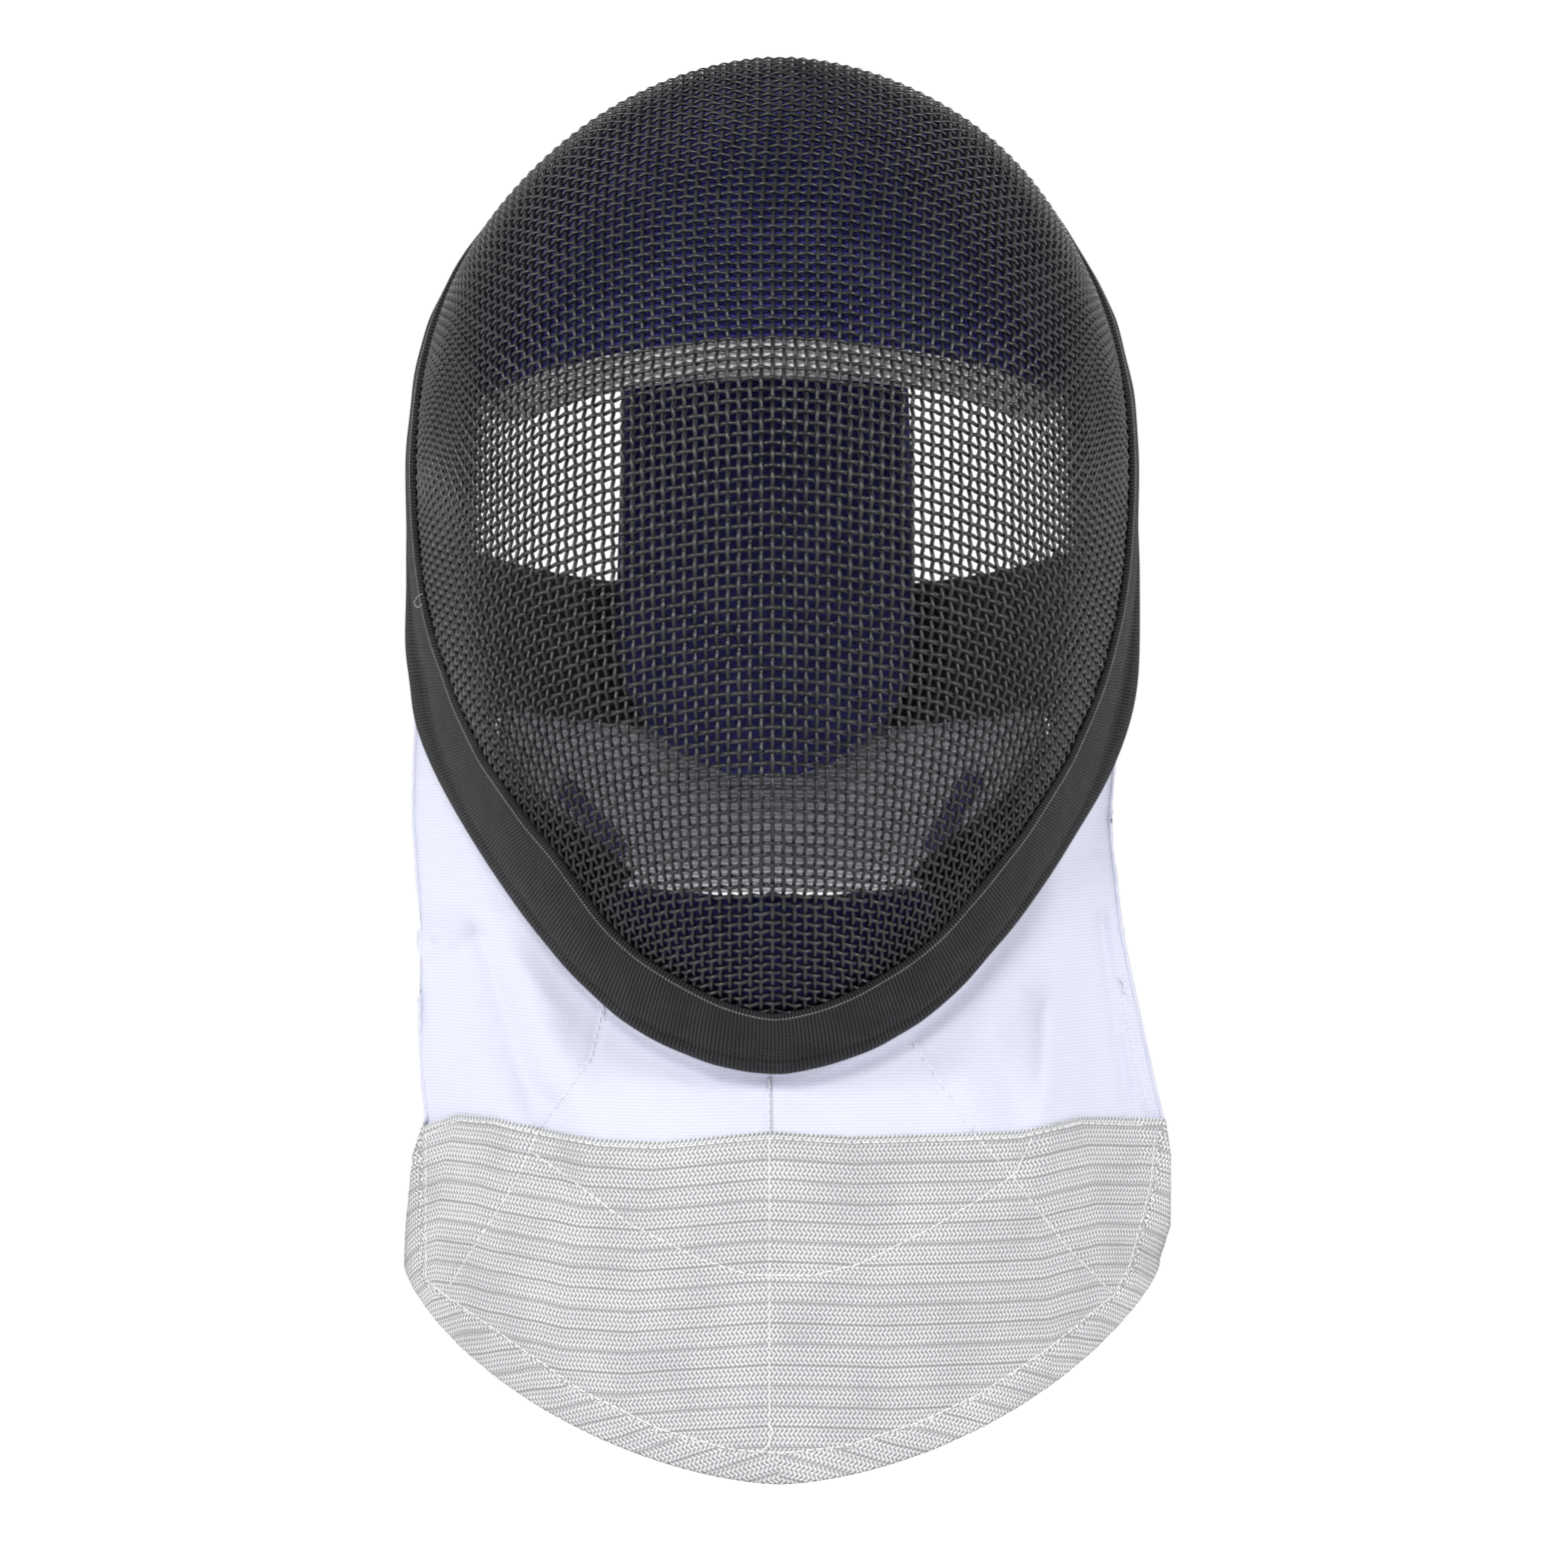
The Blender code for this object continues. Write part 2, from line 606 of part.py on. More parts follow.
def strap_face(name):
    """Outer face of a strap: flat along the lining at both ends, then round the back of the head."""
    row = dict(zip(STRAP_COLUMNS[1:], next(line[1:] for line in STRAPS if line[0] == name)))
    share = np.linspace(-1, 1, 25)
    side = np.sign(share) * np.sin(np.radians(np.abs(share) * 90)) ** 0.85
    deep = row["near"] + (row["reach"] - row["near"]) * (1 - np.abs(side) ** 2.3) ** 0.72
    low = row["low"] + row["low_rise"] * np.abs(side) ** 3
    high = row["high"] + row["high_rise"] * np.abs(side) ** 3
    up = np.linspace(0, 1, 3)[:, None]
    z = low[None] * (1 - up) + high[None] * up
    x, y = np.broadcast_arrays(row["span"] * side, deep)
    return np.stack([np.broadcast_to(x, z.shape), np.broadcast_to(y, z.shape), z], axis=-1)


def strap_inner(outer):
    """Inner face of a strap, square in from its outer face."""
    along = np.gradient(outer, axis=1)
    square = np.stack([along[..., 1], -along[..., 0], np.zeros(along.shape[:2])], axis=-1)
    square /= np.linalg.norm(square, axis=-1, keepdims=True)
    facing = np.sum(square[..., :2] * (outer[..., :2] - STRAP_CENTRE), axis=-1, keepdims=True)
    return outer - square * np.sign(facing) * STRAP_WALL


def make_straps():
    """Wide black elastic across the back of the head and the grey strap below it."""
    black = plain_material("strap elastic", (0.012, 0.012, 0.014), 0.9)
    grey = plain_material("neck strap cloth", (0.24, 0.25, 0.26), 0.9)
    for name, cloth in (("back_strap", black), ("neck_strap", grey)):
        face = strap_face(name)
        slab(name, face, strap_inner(face), cloth)


def make_tabs(material):
    """Two small navy tabs lying on the front of the grey strap."""
    line = strap_inner(strap_face("neck_strap"))[1]
    for name, side, low, lean in TABS:
        across = np.linspace(-0.5, 0.5, 3) * TAB_WIDE
        down = np.linspace(0.5, -0.5, 5) * TAB_LONG
        u, v = np.meshgrid(across, down)
        angle = math.radians(lean)
        x = TAB_OUT + u * math.cos(angle) + v * math.sin(angle)
        z = low + v * math.cos(angle) - u * math.sin(angle)
        y = np.interp(x, line[12:, 0], line[12:, 1]) - TAB_REST
        back = np.stack([side * x, y, z], axis=-1)
        slab(name, back - np.array([0.0, TAB_WALL, 0.0]), back, material)


def make_tongue_pad(material):
    """Padded tongue, rounded at the foot, cupped round the back of the head."""
    rows, columns = 13, 11
    share = np.linspace(0, 1, rows)
    height = TONGUE_HEAD - TONGUE_FOOT
    z = TONGUE_HEAD - height * np.sin(share * math.pi / 2)
    low = np.clip((TONGUE_FOOT + TONGUE_HALF_WIDTH - z) / TONGUE_HALF_WIDTH, 0, 0.992)
    high = np.clip((z - TONGUE_FOOT) / height, 0, 1)
    wide = TONGUE_HALF_WIDTH + (TONGUE_TOP_HALF - TONGUE_HALF_WIDTH) * high**2
    wide = wide * np.sqrt(1 - low**2.2)
    side = np.linspace(-1, 1, columns)
    x = wide[:, None] * side[None, :] + TONGUE_ASIDE
    deep = TONGUE_BACK - TONGUE_CUP * (x / TONGUE_HALF_WIDTH) ** 2
    deep = deep - TONGUE_LEAN * (1 - high[:, None]) ** 2
    heights = np.broadcast_to(z[:, None], x.shape)
    edge = np.minimum(1 - np.abs(side)[None, :], np.minimum(share, 1 - share)[:, None] * 2)
    plump = np.sqrt(1 - (1 - np.clip(edge / 0.3, 0, 1)) ** 2)
    thick = TONGUE_EDGE + (TONGUE_THICK - TONGUE_EDGE) * plump
    back = np.stack([x, deep, heights], axis=-1)
    front = back - np.stack([np.zeros(x.shape), thick, np.zeros(x.shape)], axis=-1)
    return slab("tongue_pad", front, back, material)


def make_tongue_spring():
    """Flat steel strip: a foot under the crown, a bend and a blade behind the tongue."""
    steel = plain_material("spring steel", (0.55, 0.55, 0.56), 0.35, 1.0)
    foot = []
    for depth in np.linspace(SPRING_FOOT_FROM, SPRING_FOOT_TO, 4):
        step = math.sqrt(depth / CAGE_DEPTH)
        point = cage_offset(np.array(step), np.array(0.0), np.array(-MESH_WALL - PAD_REST - SPRING_REST))
        foot.append((point[1], point[2]))
    bend_y, bend_z = foot[-1][0], foot[-1][1] - SPRING_BEND
    for angle in np.linspace(math.radians(70), 0.0, 5):
        reach = SPRING_BEND * math.cos(angle)
        foot.append((bend_y + reach, bend_z + SPRING_BEND * math.sin(angle)))
    blade = TONGUE_BACK + SPRING_WALL + SEWN_GAP
    for height in np.linspace(TONGUE_HEAD + SPRING_BLADE_OVER, SPRING_BLADE_LOW, 5):
        share = (height - TONGUE_FOOT) / (TONGUE_HEAD - TONGUE_FOOT)
        foot.append((blade - TONGUE_LEAN * max(0.0, 1 - share) ** 2, height))
    path = np.array(foot)
    run = np.gradient(path, axis=0)
    run /= np.linalg.norm(run, axis=1, keepdims=True)
    square = np.stack([run[:, 1], -run[:, 0]], axis=1)
    rings = []
    for (y, z), (ny, nz) in zip(path, square):
        inner = (y + ny * SPRING_WALL, z + nz * SPRING_WALL)
        ring = [(side * SPRING_HALF_WIDTH, *at) for at in ((y, z), inner) for side in (-1, 1)]
        rings.append([ring[0], ring[1], ring[3], ring[2]])
    return tube("tongue_spring", np.array(rings), steel, closed=False)


def main():
    """Clears the scene and builds the mask."""
    for item in list(bpy.data.objects):
        bpy.data.objects.remove(item)
    navy = plain_material("navy pad cloth", (0.030, 0.030, 0.105), 0.9)
    dark = plain_material("lining cloth", (0.020, 0.020, 0.026), 0.92)
    make_wire_mesh()
    make_rim_binding()
    make_forehead_pad(navy)
    make_edge_band()
    make_side_lining("side_lining_right", 1, dark)
    make_side_lining("side_lining_left", -1, dark)
    make_chin_pad(navy)
    make_bib()
    make_lame_bib()
    make_straps()
    make_tabs(navy)
    make_tongue_pad(navy)
    make_tongue_spring()


main()
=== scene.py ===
"""Dresses the fencing mask: woven wire cage, knitted edge band, throat bib, pads, straps and tongue."""

import json
import logging
import math
from collections.abc import Callable
from dataclasses import dataclass, field
from enum import Enum

import bpy
import numpy as np
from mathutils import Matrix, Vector
from mathutils.bvhtree import BVHTree

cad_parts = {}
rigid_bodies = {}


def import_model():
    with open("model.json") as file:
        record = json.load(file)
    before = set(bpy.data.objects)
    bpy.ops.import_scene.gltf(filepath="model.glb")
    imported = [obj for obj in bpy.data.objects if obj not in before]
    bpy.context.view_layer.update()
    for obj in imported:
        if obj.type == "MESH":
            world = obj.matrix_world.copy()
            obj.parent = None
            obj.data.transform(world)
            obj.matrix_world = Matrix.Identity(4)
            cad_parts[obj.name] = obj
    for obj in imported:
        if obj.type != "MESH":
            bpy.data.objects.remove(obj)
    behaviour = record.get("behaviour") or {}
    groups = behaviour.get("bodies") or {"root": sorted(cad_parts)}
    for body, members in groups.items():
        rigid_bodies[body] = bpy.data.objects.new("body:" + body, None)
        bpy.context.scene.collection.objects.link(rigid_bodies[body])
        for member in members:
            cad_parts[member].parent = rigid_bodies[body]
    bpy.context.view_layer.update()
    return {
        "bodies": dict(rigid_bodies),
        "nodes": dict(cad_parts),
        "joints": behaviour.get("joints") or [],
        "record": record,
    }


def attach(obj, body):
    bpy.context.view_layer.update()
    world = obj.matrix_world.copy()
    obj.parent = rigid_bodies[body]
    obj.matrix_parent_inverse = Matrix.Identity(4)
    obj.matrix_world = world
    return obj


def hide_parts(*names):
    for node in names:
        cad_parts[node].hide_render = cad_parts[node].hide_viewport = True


log = logging.getLogger("mask")

MM = 0.001
SEAT = np.array([0.0, 0.116, 0.196])
CROWN_LEAN = np.array([2.2, 0.0, 1.5]) * MM
LEAN_FROM = 150 * MM
LEAN_OVER = 48 * MM
CUT_START = 0.1


class Side(Enum):
    """The two sides of the mask, as seen from in front."""

    LEFT = -1
    RIGHT = 1


class Thread(Enum):
    """The two sets of wires in the woven cage."""

    WARP = "warp"
    WEFT = "weft"


def smooth_curve(knots: np.ndarray, values: np.ndarray) -> Callable[[np.ndarray], np.ndarray]:
    """Monotone cubic through knots, straight beyond both ends.

    Args:
        knots: places along the curve, rising.
        values: the value at each knot.

    Returns:
        A function of an array of places.
    """
    knots, values = np.asarray(knots, float), np.asarray(values, float)
    step = np.diff(knots)
    slope = np.diff(values) / step
    tangent = np.zeros(len(knots))
    tangent[0], tangent[-1] = slope[0], slope[-1]
    for i in range(1, len(knots) - 1):
        if slope[i - 1] * slope[i] > 0:
            a = 2 * step[i] + step[i - 1]
            b = step[i] + 2 * step[i - 1]
            tangent[i] = (a + b) / (a / slope[i - 1] + b / slope[i])

    def value(at: np.ndarray) -> np.ndarray:
        """The curve's value at each place."""
        at = np.asarray(at, float)
        inside = np.clip(at, knots[0], knots[-1])
        i = np.clip(np.searchsorted(knots, inside, side="right") - 1, 0, len(knots) - 2)
        t = (inside - knots[i]) / step[i]
        curve = (
            (2 * t**3 - 3 * t**2 + 1) * values[i]
            + (t**3 - 2 * t**2 + t) * step[i] * tangent[i]
            + (3 * t**2 - 2 * t**3) * values[i + 1]
            + (t**3 - t**2) * step[i] * tangent[i + 1]
        )
        beyond = np.where(at > knots[-1], (at - knots[-1]) * tangent[-1], 0.0)
        before = np.where(at < knots[0], (at - knots[0]) * tangent[0], 0.0)
        return curve + beyond + before

    return value


def unit(vectors: np.ndarray) -> np.ndarray:
    """Vectors scaled to length one."""
    return vectors / np.maximum(np.linalg.norm(vectors, axis=-1, keepdims=True), 1e-12)


def soften(share: np.ndarray) -> np.ndarray:
    """A share from 0 to 1 with soft ends."""
    return share**2 * (3 - 2 * share)


def folded(turn: np.ndarray) -> np.ndarray:
    """Turns of both halves, each counted from the top down its own side."""
    return np.where(turn > 180, 360 - turn, turn)


def run_along(path: np.ndarray) -> np.ndarray:
    """Length from the start of a path to each of its points."""
    return np.concatenate([[0], np.cumsum(np.linalg.norm(np.diff(path[:, :3], axis=0), axis=1))])


def spaced(path: np.ndarray, pitch: float, start: float = 0.0) -> np.ndarray:
    """Points at equal distances along a path.

    Args:
        path: points, one a row; columns past the third are carried along.
        pitch: distance from one to the next.
        start: distance of the first from the path's start.

    Returns:
        The points, with all of the path's columns.
    """
    run = run_along(path)
    at = np.arange(start, run[-1], pitch)
    return np.stack([np.interp(at, run, path[:, k]) for k in range(path.shape[1])], axis=1)


# ---------------------------------------------------------------- finishes


class NodeDesk:
    """The node tree of one material, with short calls for what the finishes use."""

    def __init__(self, name: str) -> None:
        """Starts a material with one Principled shader."""
        self.material = bpy.data.materials.new(name)
        self.material.use_nodes = True
        self.tree = self.material.node_tree
        self.shader = self.tree.nodes["Principled BSDF"]

    def add(self, kind: str, **settings: object) -> bpy.types.Node:
        """A new node with its settings."""
        node = self.tree.nodes.new(kind)
        for key, value in settings.items():
            setattr(node, key, value)
        return node

    def feed(self, target: bpy.types.NodeSocket, value: object) -> None:
        """Links a socket to an input, or sets the input's own value."""
        if isinstance(value, bpy.types.NodeSocket):
            self.tree.links.new(value, target)
        else:
            target.default_value = value

    def calc(self, operation: str, *values: object) -> bpy.types.NodeSocket:
        """One step of arithmetic on sockets or numbers."""
        node = self.add("ShaderNodeMath", operation=operation)
        for target, value in zip(node.inputs, values):
            self.feed(target, value)
        return node.outputs[0]

    def span(self, value: object, low: float, high: float, to_low: float, to_high: float) -> object:
        """A value mapped from one range to another, held at both ends."""
        node = self.add("ShaderNodeMapRange", clamp=True)
        for target, given in zip(node.inputs, (value, low, high, to_low, to_high)):
            self.feed(target, given)
        return node.outputs[0]

    def cut_axes(self) -> tuple:
        """Across and down the cut of the cloth, in millimetres."""
        place = self.add("ShaderNodeUVMap", uv_map="cut")
        return tuple(self.calc("MULTIPLY", part, 1 / MM) for part in self.parts(place.outputs[0])[:2])

    def parts(self, vector: bpy.types.NodeSocket) -> tuple:
        """The three numbers of a vector."""
        split = self.add("ShaderNodeSeparateXYZ")
        self.feed(split.inputs[0], vector)
        return tuple(split.outputs)

    def own_place(self) -> bpy.types.NodeSocket:
        """The place in the object's own space."""
        return self.add("ShaderNodeTexCoord").outputs["Object"]

    def wave(self, value: object, pitch: float, shift: object = 0.0) -> bpy.types.NodeSocket:
        """A sine of the value with that pitch, from -1 to 1."""
        turned = self.calc("MULTIPLY_ADD", value, 2 * math.pi / pitch, shift)
        return self.calc("SINE", turned)

    def mottle(self, scale: float, detail: float = 3.0) -> bpy.types.NodeSocket:
        """Noise over the object's own space, about 0.5 on average."""
        noise = self.add("ShaderNodeTexNoise")
        self.feed(noise.inputs["Vector"], self.own_place())
        self.feed(noise.inputs["Scale"], scale)
        self.feed(noise.inputs["Detail"], detail)
        return noise.outputs["Fac"]

    def blend(self, share: object, first: object, second: object) -> bpy.types.NodeSocket:
        """Two colours mixed by a share."""
        node = self.add("ShaderNodeMix", data_type="RGBA")
        for index, value in ((0, share), (6, first), (7, second)):
            if isinstance(value, tuple):
                value = (*value, 1.0)
            self.feed(node.inputs[index], value)
        return node.outputs[2]

    def relief(self, height: object, depth: float) -> None:
        """Bump on the shader, from a height of 0 to 1 that is depth metres tall."""
        node = self.add("ShaderNodeBump")
        self.feed(node.inputs["Height"], height)
        self.feed(node.inputs["Distance"], depth)
        self.feed(node.inputs["Strength"], 1.0)
        self.feed(self.shader.inputs["Normal"], node.outputs[0])

    def dress(self, **sockets: object) -> bpy.types.Material:
        """Sets the shader's inputs by name, with _ for a space, and gives the material."""
        for key, value in sockets.items():
            if isinstance(value, tuple) and len(value) == 3:
                value = (*value, 1.0)
            self.feed(self.shader.inputs[key.replace("_", " ")], value)
        return self.material


@dataclass(frozen=True)
class WirePaint:
    """Dark grey satin paint baked on to steel wire."""

    name: str = "wire paint"
    color: tuple = (0.012, 0.012, 0.014)
    worn: tuple = (0.026, 0.026, 0.028)
    roughness: float = 0.28

    def make(self) -> bpy.types.Material:
        """The paint, a little mottled and unevenly glossy."""
        desk = NodeDesk(self.name)
        patches = desk.span(desk.mottle(130.0, 2.0), 0.35, 0.7, 0.0, 1.0)
        rough = desk.span(patches, 0.0, 1.0, self.roughness - 0.06, self.roughness + 0.1)
        return desk.dress(
            Base_Color=desk.blend(patches, self.color, self.worn), Roughness=rough, Specular_IOR_Level=0.50
        )


@dataclass(frozen=True)
class KnitElastic:
    """Knitted elastic with fine ribs along one direction of its cut."""

    name: str
    color: tuple
    # deep is the painted shade in the hollows between the ribs and stitches
    deep: tuple
    rib: float = 0.72
    rib_axis: int = 0
    wander: float = 5.0
    relief: float = 0.00022
    sheen: float = 0.06
    # pale edge colour, painted light standing in for the light seen under the strap, and its width in mm
    painted_light_edge: tuple | None = None
    painted_light_edge_wide: float = 0.0

    def make(self) -> bpy.types.Material:
        """Ribs that wander slightly, broken into stitches, with painted shade between the ribs."""
        desk = NodeDesk(self.name)
        axes = desk.cut_axes()
        across, along = axes[self.rib_axis], axes[1 - self.rib_axis]
        drift = desk.calc("MULTIPLY", desk.mottle(42.0, 1.0), self.wander)
        ribs = desk.wave(across, self.rib, drift)
        stitches = desk.wave(along, self.rib * 1.15, drift)
        height = desk.calc("MULTIPLY_ADD", stitches, 0.22, ribs)
        share = desk.span(height, -1.1, 1.1, 0.0, 1.0)
        patches = desk.span(desk.mottle(130.0, 4.0), 0.3, 0.75, 0.55, 1.0)
        desk.relief(share, self.relief)
        shade = desk.calc("MULTIPLY", share, patches)
        color = self.color
        # painted light: a pale band along the strap's lower edge stands in for the light that shows under it
        if self.painted_light_edge:
            inner = desk.span(across, self.painted_light_edge_wide - 3.0, self.painted_light_edge_wide + 1.0, 0.0, 1.0)
            color = desk.blend(inner, self.painted_light_edge, self.color)
        return desk.dress(
            # painted shade: the deep colour darkens the hollows between the ribs and stitches
            Base_Color=desk.blend(shade, self.deep, color),
            Roughness=0.82,
            Specular_IOR_Level=0.18,
            Sheen_Weight=self.sheen,
            Sheen_Roughness=0.5,
        )


@dataclass(frozen=True)
class BibCloth:
    """White cloth with fine ribs across and a finer cross thread."""

    name: str = "bib cloth"
    color: tuple = (0.715, 0.725, 0.825)
    # deep is the painted shade between the ribs and threads
    deep: tuple = (0.575, 0.59, 0.72)
    rib: float = 0.90
    thread: float = 0.82
    wander: float = 14.0
    relief: float = 0.00009

    def make(self) -> bpy.types.Material:
        """Level ribs crossed by threads, with a faint blue painted shade between them."""
        desk = NodeDesk(self.name)
        across, down = desk.cut_axes()
        drift = desk.calc("MULTIPLY", desk.mottle(16.0, 1.0), self.wander)
        ribs = desk.wave(down, self.rib, drift)
        threads = desk.wave(across, self.thread)
        grid = desk.calc("MULTIPLY_ADD", threads, 0.55, ribs)
        share = desk.span(grid, -1.4, 1.0, 0.0, 1.0)
        desk.relief(share, self.relief)
        cloud = desk.span(desk.mottle(22.0, 3.0), 0.35, 0.7, 0.8, 1.0)
        return desk.dress(
            # painted shade: darker and bluer in the hollows between ribs and threads
            Base_Color=desk.blend(desk.calc("MULTIPLY", share, cloud), self.deep, self.color),
            Roughness=0.85,
            Sheen_Weight=0.15,
        )


@dataclass(frozen=True)
class LameKnit:
    """Silver conductive knit: fine zigzag wales between darker drawn lines."""

    name: str = "lame knit"
    # color is the silver with a painted highlight on the wales' crests; deep is the painted shade in their
    # troughs
    color: tuple = (0.98, 0.985, 1.0)
    deep: tuple = (0.235, 0.24, 0.25)
    line: tuple = (0.20, 0.20, 0.205)
    wale: float = 1.28
    zigzag: float = 2.6
    line_pitch: float = 5.75
    line_width: float = 0.42
    sway: float = 0.42
    wander: float = 1.3
    relief: float = 0.00038
    metallic: float = 0.15

    def make(self) -> bpy.types.Material:
        """Wales that zigzag down the cloth, with painted highlights on their crests and painted shade in
        their troughs, and a dark line at every pitch.
        """
        desk = NodeDesk(self.name)
        across, down = desk.cut_axes()
        sway = desk.wave(down, self.zigzag)
        bent = desk.calc("MULTIPLY_ADD", sway, self.sway, across)
        wales = desk.wave(bent, self.wale)
        courses = desk.wave(down, self.zigzag / 2)
        height = desk.calc("MULTIPLY_ADD", courses, 0.4, wales)
        share = desk.span(height, -1.2, 1.0, 0.0, 1.0)
        drift = desk.calc("MULTIPLY", desk.mottle(30.0, 2.0), self.wander)
        level = desk.calc("ADD", down, drift)
        inside = desk.calc("PINGPONG", level, self.line_pitch / 2)
        lines = desk.span(inside, 0.0, self.line_width, 0.0, 1.0)
        cloud = desk.span(desk.mottle(55.0, 4.0), 0.3, 0.75, 0.72, 1.0)
        # painted highlight on the crests and painted shade in the troughs of the wales
        knit = desk.blend(desk.calc("MULTIPLY", share, cloud), self.deep, self.color)
        desk.relief(desk.calc("MULTIPLY", share, lines), self.relief)
        faint = desk.span(lines, 0.0, 1.0, 0.30, 1.0)
        return desk.dress(
            Base_Color=desk.blend(faint, self.line, knit),
            Roughness=desk.span(share, 0.0, 1.0, 0.62, 0.42),
            Metallic=self.metallic,
        )


@dataclass(frozen=True)
class PadCloth:
    """Brushed knit over foam."""

    name: str
    color: tuple
    # deep is the painted shade between the loops
    deep: tuple
    loop: float = 0.9
    relief: float = 0.0002

    def make(self) -> bpy.types.Material:
        """A napped cloth of small loops, with painted shade between them, and soft patches."""
        desk = NodeDesk(self.name)
        loops = desk.add("ShaderNodeTexVoronoi")
        desk.feed(loops.inputs["Vector"], desk.own_place())
        desk.feed(loops.inputs["Scale"], 1 / (self.loop * MM))
        nap = desk.span(loops.outputs["Distance"], 0.0, 0.8, 1.0, 0.0)
        patches = desk.span(desk.mottle(60.0, 5.0), 0.3, 0.7, 0.4, 1.0)
        desk.relief(nap, self.relief)
        return desk.dress(
            # painted shade: the deep colour fills the gaps between the loops
            Base_Color=desk.blend(desk.calc("MULTIPLY", nap, patches), self.deep, self.color),
            Roughness=0.92,
            Specular_IOR_Level=0.2,
            Sheen_Weight=0.12,
            Sheen_Roughness=0.4,
        )


@dataclass(frozen=True)
class SpeckledTape:
    """Light grey tape with dark flecks."""

    name: str = "speckled tape"
    color: tuple = (0.95, 0.96, 0.97)
    fleck: tuple = (0.52, 0.53, 0.58)
    weave: float = 0.9
    relief: float = 0.00018

    def make(self) -> bpy.types.Material:
        """Woven tape with flecks of a darker thread."""
        desk = NodeDesk(self.name)
        across, down = desk.cut_axes()
        weave = desk.calc("MULTIPLY", desk.wave(across, self.weave), desk.wave(down, self.weave))
        flecks = desk.span(desk.mottle(900.0, 2.0), 0.56, 0.66, 0.0, 1.0)
        desk.relief(desk.span(weave, -1.0, 1.0, 0.0, 1.0), self.relief)
        return desk.dress(Base_Color=desk.blend(flecks, self.color, self.fleck), Roughness=0.88)


@dataclass(frozen=True)
class SewingThread:
    """Twisted sewing thread."""

    name: str
    color: tuple
    roughness: float = 0.6
    twist: float = 1800.0
    dip_shade: float = 0.72
    relief: float = 0.00006

    def make(self) -> bpy.types.Material:
        """Thread with a fine twist and slight unevenness, with painted shade where the twist dips."""
        desk = NodeDesk(self.name)
        twist = desk.mottle(self.twist, 2.0)
        desk.relief(twist, self.relief)
        dip_shade = tuple(c * self.dip_shade for c in self.color)
        # painted shade: darker where the twist's relief dips
        share = desk.span(twist, 0.35, 0.65, 0.0, 1.0)
        return desk.dress(Base_Color=desk.blend(share, dip_shade, self.color), Roughness=self.roughness)


@dataclass(frozen=True)
class SpringSteel:
    """Bare rolled spring steel."""

    name: str = "spring steel"
    color: tuple = (0.46, 0.46, 0.48)
    browning: tuple = (0.7, 0.62, 0.55)
    rolling: tuple = (2400.0, 40.0, 40.0)
    relief: float = 0.00003

    def make(self) -> bpy.types.Material:
        """Steel with rolling lines along its length and light tarnish."""
        desk = NodeDesk(self.name)
        stretch = desk.add("ShaderNodeMapping")
        desk.feed(stretch.inputs["Vector"], desk.own_place())
        stretch.inputs["Scale"].default_value = self.rolling
        lines = desk.add("ShaderNodeTexNoise")
        desk.feed(lines.inputs["Vector"], stretch.outputs[0])
        desk.feed(lines.inputs["Scale"], 1.0)
        tarnish = desk.span(desk.mottle(70.0, 4.0), 0.4, 0.75, 0.0, 1.0)
        desk.relief(lines.outputs["Fac"], self.relief)
        rough = desk.span(lines.outputs["Fac"], 0.3, 0.7, 0.24, 0.44)
        brown = tuple(c * s for c, s in zip(self.color, self.browning))
        return desk.dress(Base_Color=desk.blend(tarnish, self.color, brown), Roughness=rough, Metallic=1.0)


@dataclass(frozen=True)
class StudioWhite:
    """Matt white of the floor and its sweep."""

    name: str = "studio white"
    color: tuple = (0.36, 0.36, 0.363)
    # painted light: how strongly the floor and sweep glow in front of the mask and behind it
    front_glow: float = 0.34
    back_glow: float = 0.77
    # depths between which the glow rises, in metres
    glow_from_to: tuple = (-0.9, 0.4)

    def make(self) -> bpy.types.Material:
        """Matt white with a trace of unevenness, and a painted glow that is stronger behind the mask than
        before it.
        """
        desk = NodeDesk(self.name)
        shade = tuple(c * 0.985 for c in self.color)
        tone = desk.blend(desk.mottle(3.0, 0.0), shade, self.color)
        forward = desk.parts(desk.own_place())[1]
        # painted light: the floor and sweep glow, more behind the mask than in front of it
        glow = desk.span(forward, *self.glow_from_to, self.front_glow, self.back_glow)
        desk.material.cycles.emission_sampling = "NONE"
        return desk.dress(
            Base_Color=tone,
            Roughness=0.9,
            Specular_IOR_Level=0.1,
            Emission_Color=(1.0, 1.0, 1.0),
            Emission_Strength=glow,
        )


# ---------------------------------------------------------------- making pieces


def lean_crown(points: np.ndarray) -> np.ndarray:
    """Points of the crown moved a little right and up, as the real cage is not quite even."""
    share = np.clip((points[:, 2] - LEAN_FROM) / LEAN_OVER, 0, 1)
    return points + soften(share)[:, None] * CROWN_LEAN


